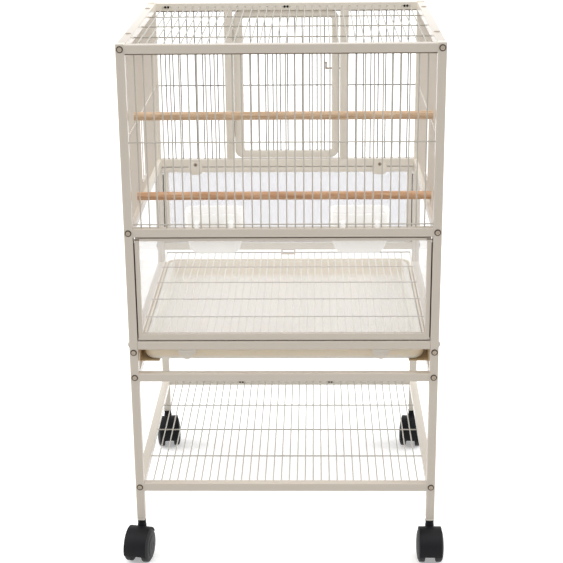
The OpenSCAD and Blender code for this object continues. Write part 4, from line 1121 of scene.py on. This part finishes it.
def casterWheel(k):
    r = k["wheelR"]
    return turned([(0, 7.4), (22.0, 7.4), (23.0, 8.4), (23.0, 10.0), (r - 1.6, 10.6), (r - 0.4, 11.2),
                   (r, 12.2), (r, 19.6), (r - 0.5, 21.0), (r - 1.6, 22.2), (r - 3.2, 23.2),
                   (r - 6.0, 24.2), (r - 9.0, 24.9), (r - 9.8, 24.6), (r - 10.6, 24.6), (r - 11.4, 25.2),
                   (r - 16.0, 25.8), (8.2, 26.0), (7.6, 25.5), (6.8, 25.5), (6.2, 26.0), (2.5, 26.0),
                   (0, 26.0)], 64)


def casterHood(k):
    part = bmesh.new()
    half, low, high = k["hoodHalf"], k["hoodIn"], k["hoodOut"]
    outline = [(-half, low - 0.9), (-half, high - 1.1), (-half + 0.4, high - 0.35), (-half + 1.4, high),
               (half - 1.4, high), (half - 0.4, high - 0.35), (half, high - 1.1), (half, low - 0.9),
               (half - 1.6, low - 0.9), (half - 1.6, low), (-half + 1.6, low), (-half + 1.6, low - 0.9)]
    face = part.faces.new([part.verts.new((x, radius, 0.0)) for x, radius in outline])
    bmesh.ops.spin(part, geom=[face, *face.edges, *face.verts], cent=(0, 0, 0), axis=(1, 0, 0),
                   dvec=(0, 0, 0), angle=math.radians(k["hoodTo"] - k["hoodFrom"]), steps=40)
    bmesh.ops.recalc_face_normals(part, faces=part.faces)
    bmesh.ops.rotate(part, verts=part.verts, cent=(0, 0, 0),
                     matrix=Matrix.Rotation(math.radians(k["hoodFrom"]), 3, "X"))
    return part


def casterWeb(k):  # disc between the wheels, cut off above the floor
    r, half = k["hoodIn"], k["webHalf"]
    part = turned([(0, -half), (r - 0.3, -half), (r, -half + 0.3), (r, half - 0.3), (r - 0.3, half),
                   (0, half)], 64)
    bmesh.ops.rotate(part, verts=part.verts, cent=(0, 0, 0), matrix=toSide.to_3x3())
    cutAway(part, (0, 0, k["webLift"] - k["wheelR"]), (0, 0, -1))
    return part


def casterNeck(k):  # starts inside the hood's crown and carries the stem
    r, s, low, top = k["neck"] / 2, k["stem"] / 2, k["neckLow"], k["top"]
    end = top + k["stemL"]
    return turned([(0, low), (r + 0.6, low), (r + 0.6, low + 6.0), (r, low + 7.2), (r, top - 2.2),
                   (r + 0.5, top - 1.6), (r + 0.5, top - 0.5), (r, top), (s, top), (s, end - 2.0),
                   (s - 1.0, end), (0, end)], 40)


def makeCasters(c, k):
    wheel, hood, web, neck = casterWheel(k), casterHood(k), casterWeb(k), casterNeck(k)
    spots = (("front_left", -1, -1), ("front_right", 1, -1), ("rear_left", -1, 1), ("rear_right", 1, 1))
    for (spot, hand, end), turn in zip(spots, k["turns"]):
        swivel = (Matrix.Translation((hand * c["postX"], end * c["postY"], 0))
                  @ Matrix.Rotation(math.radians(turn), 4, "Z"))
        axle = swivel @ Matrix.Translation((0, -k["trail"], k["wheelR"]))
        mesh, pair = bmesh.new(), bmesh.new()
        for part, place in ((hood, axle), (web, axle), (neck, swivel)):
            stamp(mesh, part, place)
        name = "caster_" + spot
        newPiece("casterHood_" + spot, mesh, casterNylon, name, [name])
        for outer in (-1, 1):
            stamp(pair, wheel, axle @ Matrix.Rotation(outer * math.pi / 2, 4, "Y"))
        rod(pair, axle @ Vector((-k["axleHalf"], 0, 0)), axle @ Vector((k["axleHalf"], 0, 0)), k["axle"], 20)
        name = "wheels_" + spot
        newPiece("wheelPair_" + spot, pair, wheelNylon, name, [name])
    for part in (wheel, hood, web, neck):
        part.free()


makeCasters(cage, caster)
print("casters ready")

# Finishes on the frame's own nodes

finishOfSlot = {
    "cream_tube": tubeCoat, "cream_wire": wireCoat, "clear_pane": clearPane, "tray_plastic": trayPlastic,
    "perch_wood": dowelWood, "cup_plastic": cupPlastic, "grey_plastic": greyTrim,
    "dark_steel": boltSteel, "black_plastic": casterNylon,
}
finishOfNode = {"panel_screws": darkSteel, "tray_runners": shadedRunnerPlastic, "hatch_pane": hatchSheet,
                "side_panes": sideSheet}
for row in frame["record"]["subparts"]:
    finish = finishOfNode.get(row["node"], finishOfSlot[row["material_slot"]])
    data = nodes[row["node"]].data
    data.materials.clear()
    data.materials.append(finish)
print("frame nodes finished")
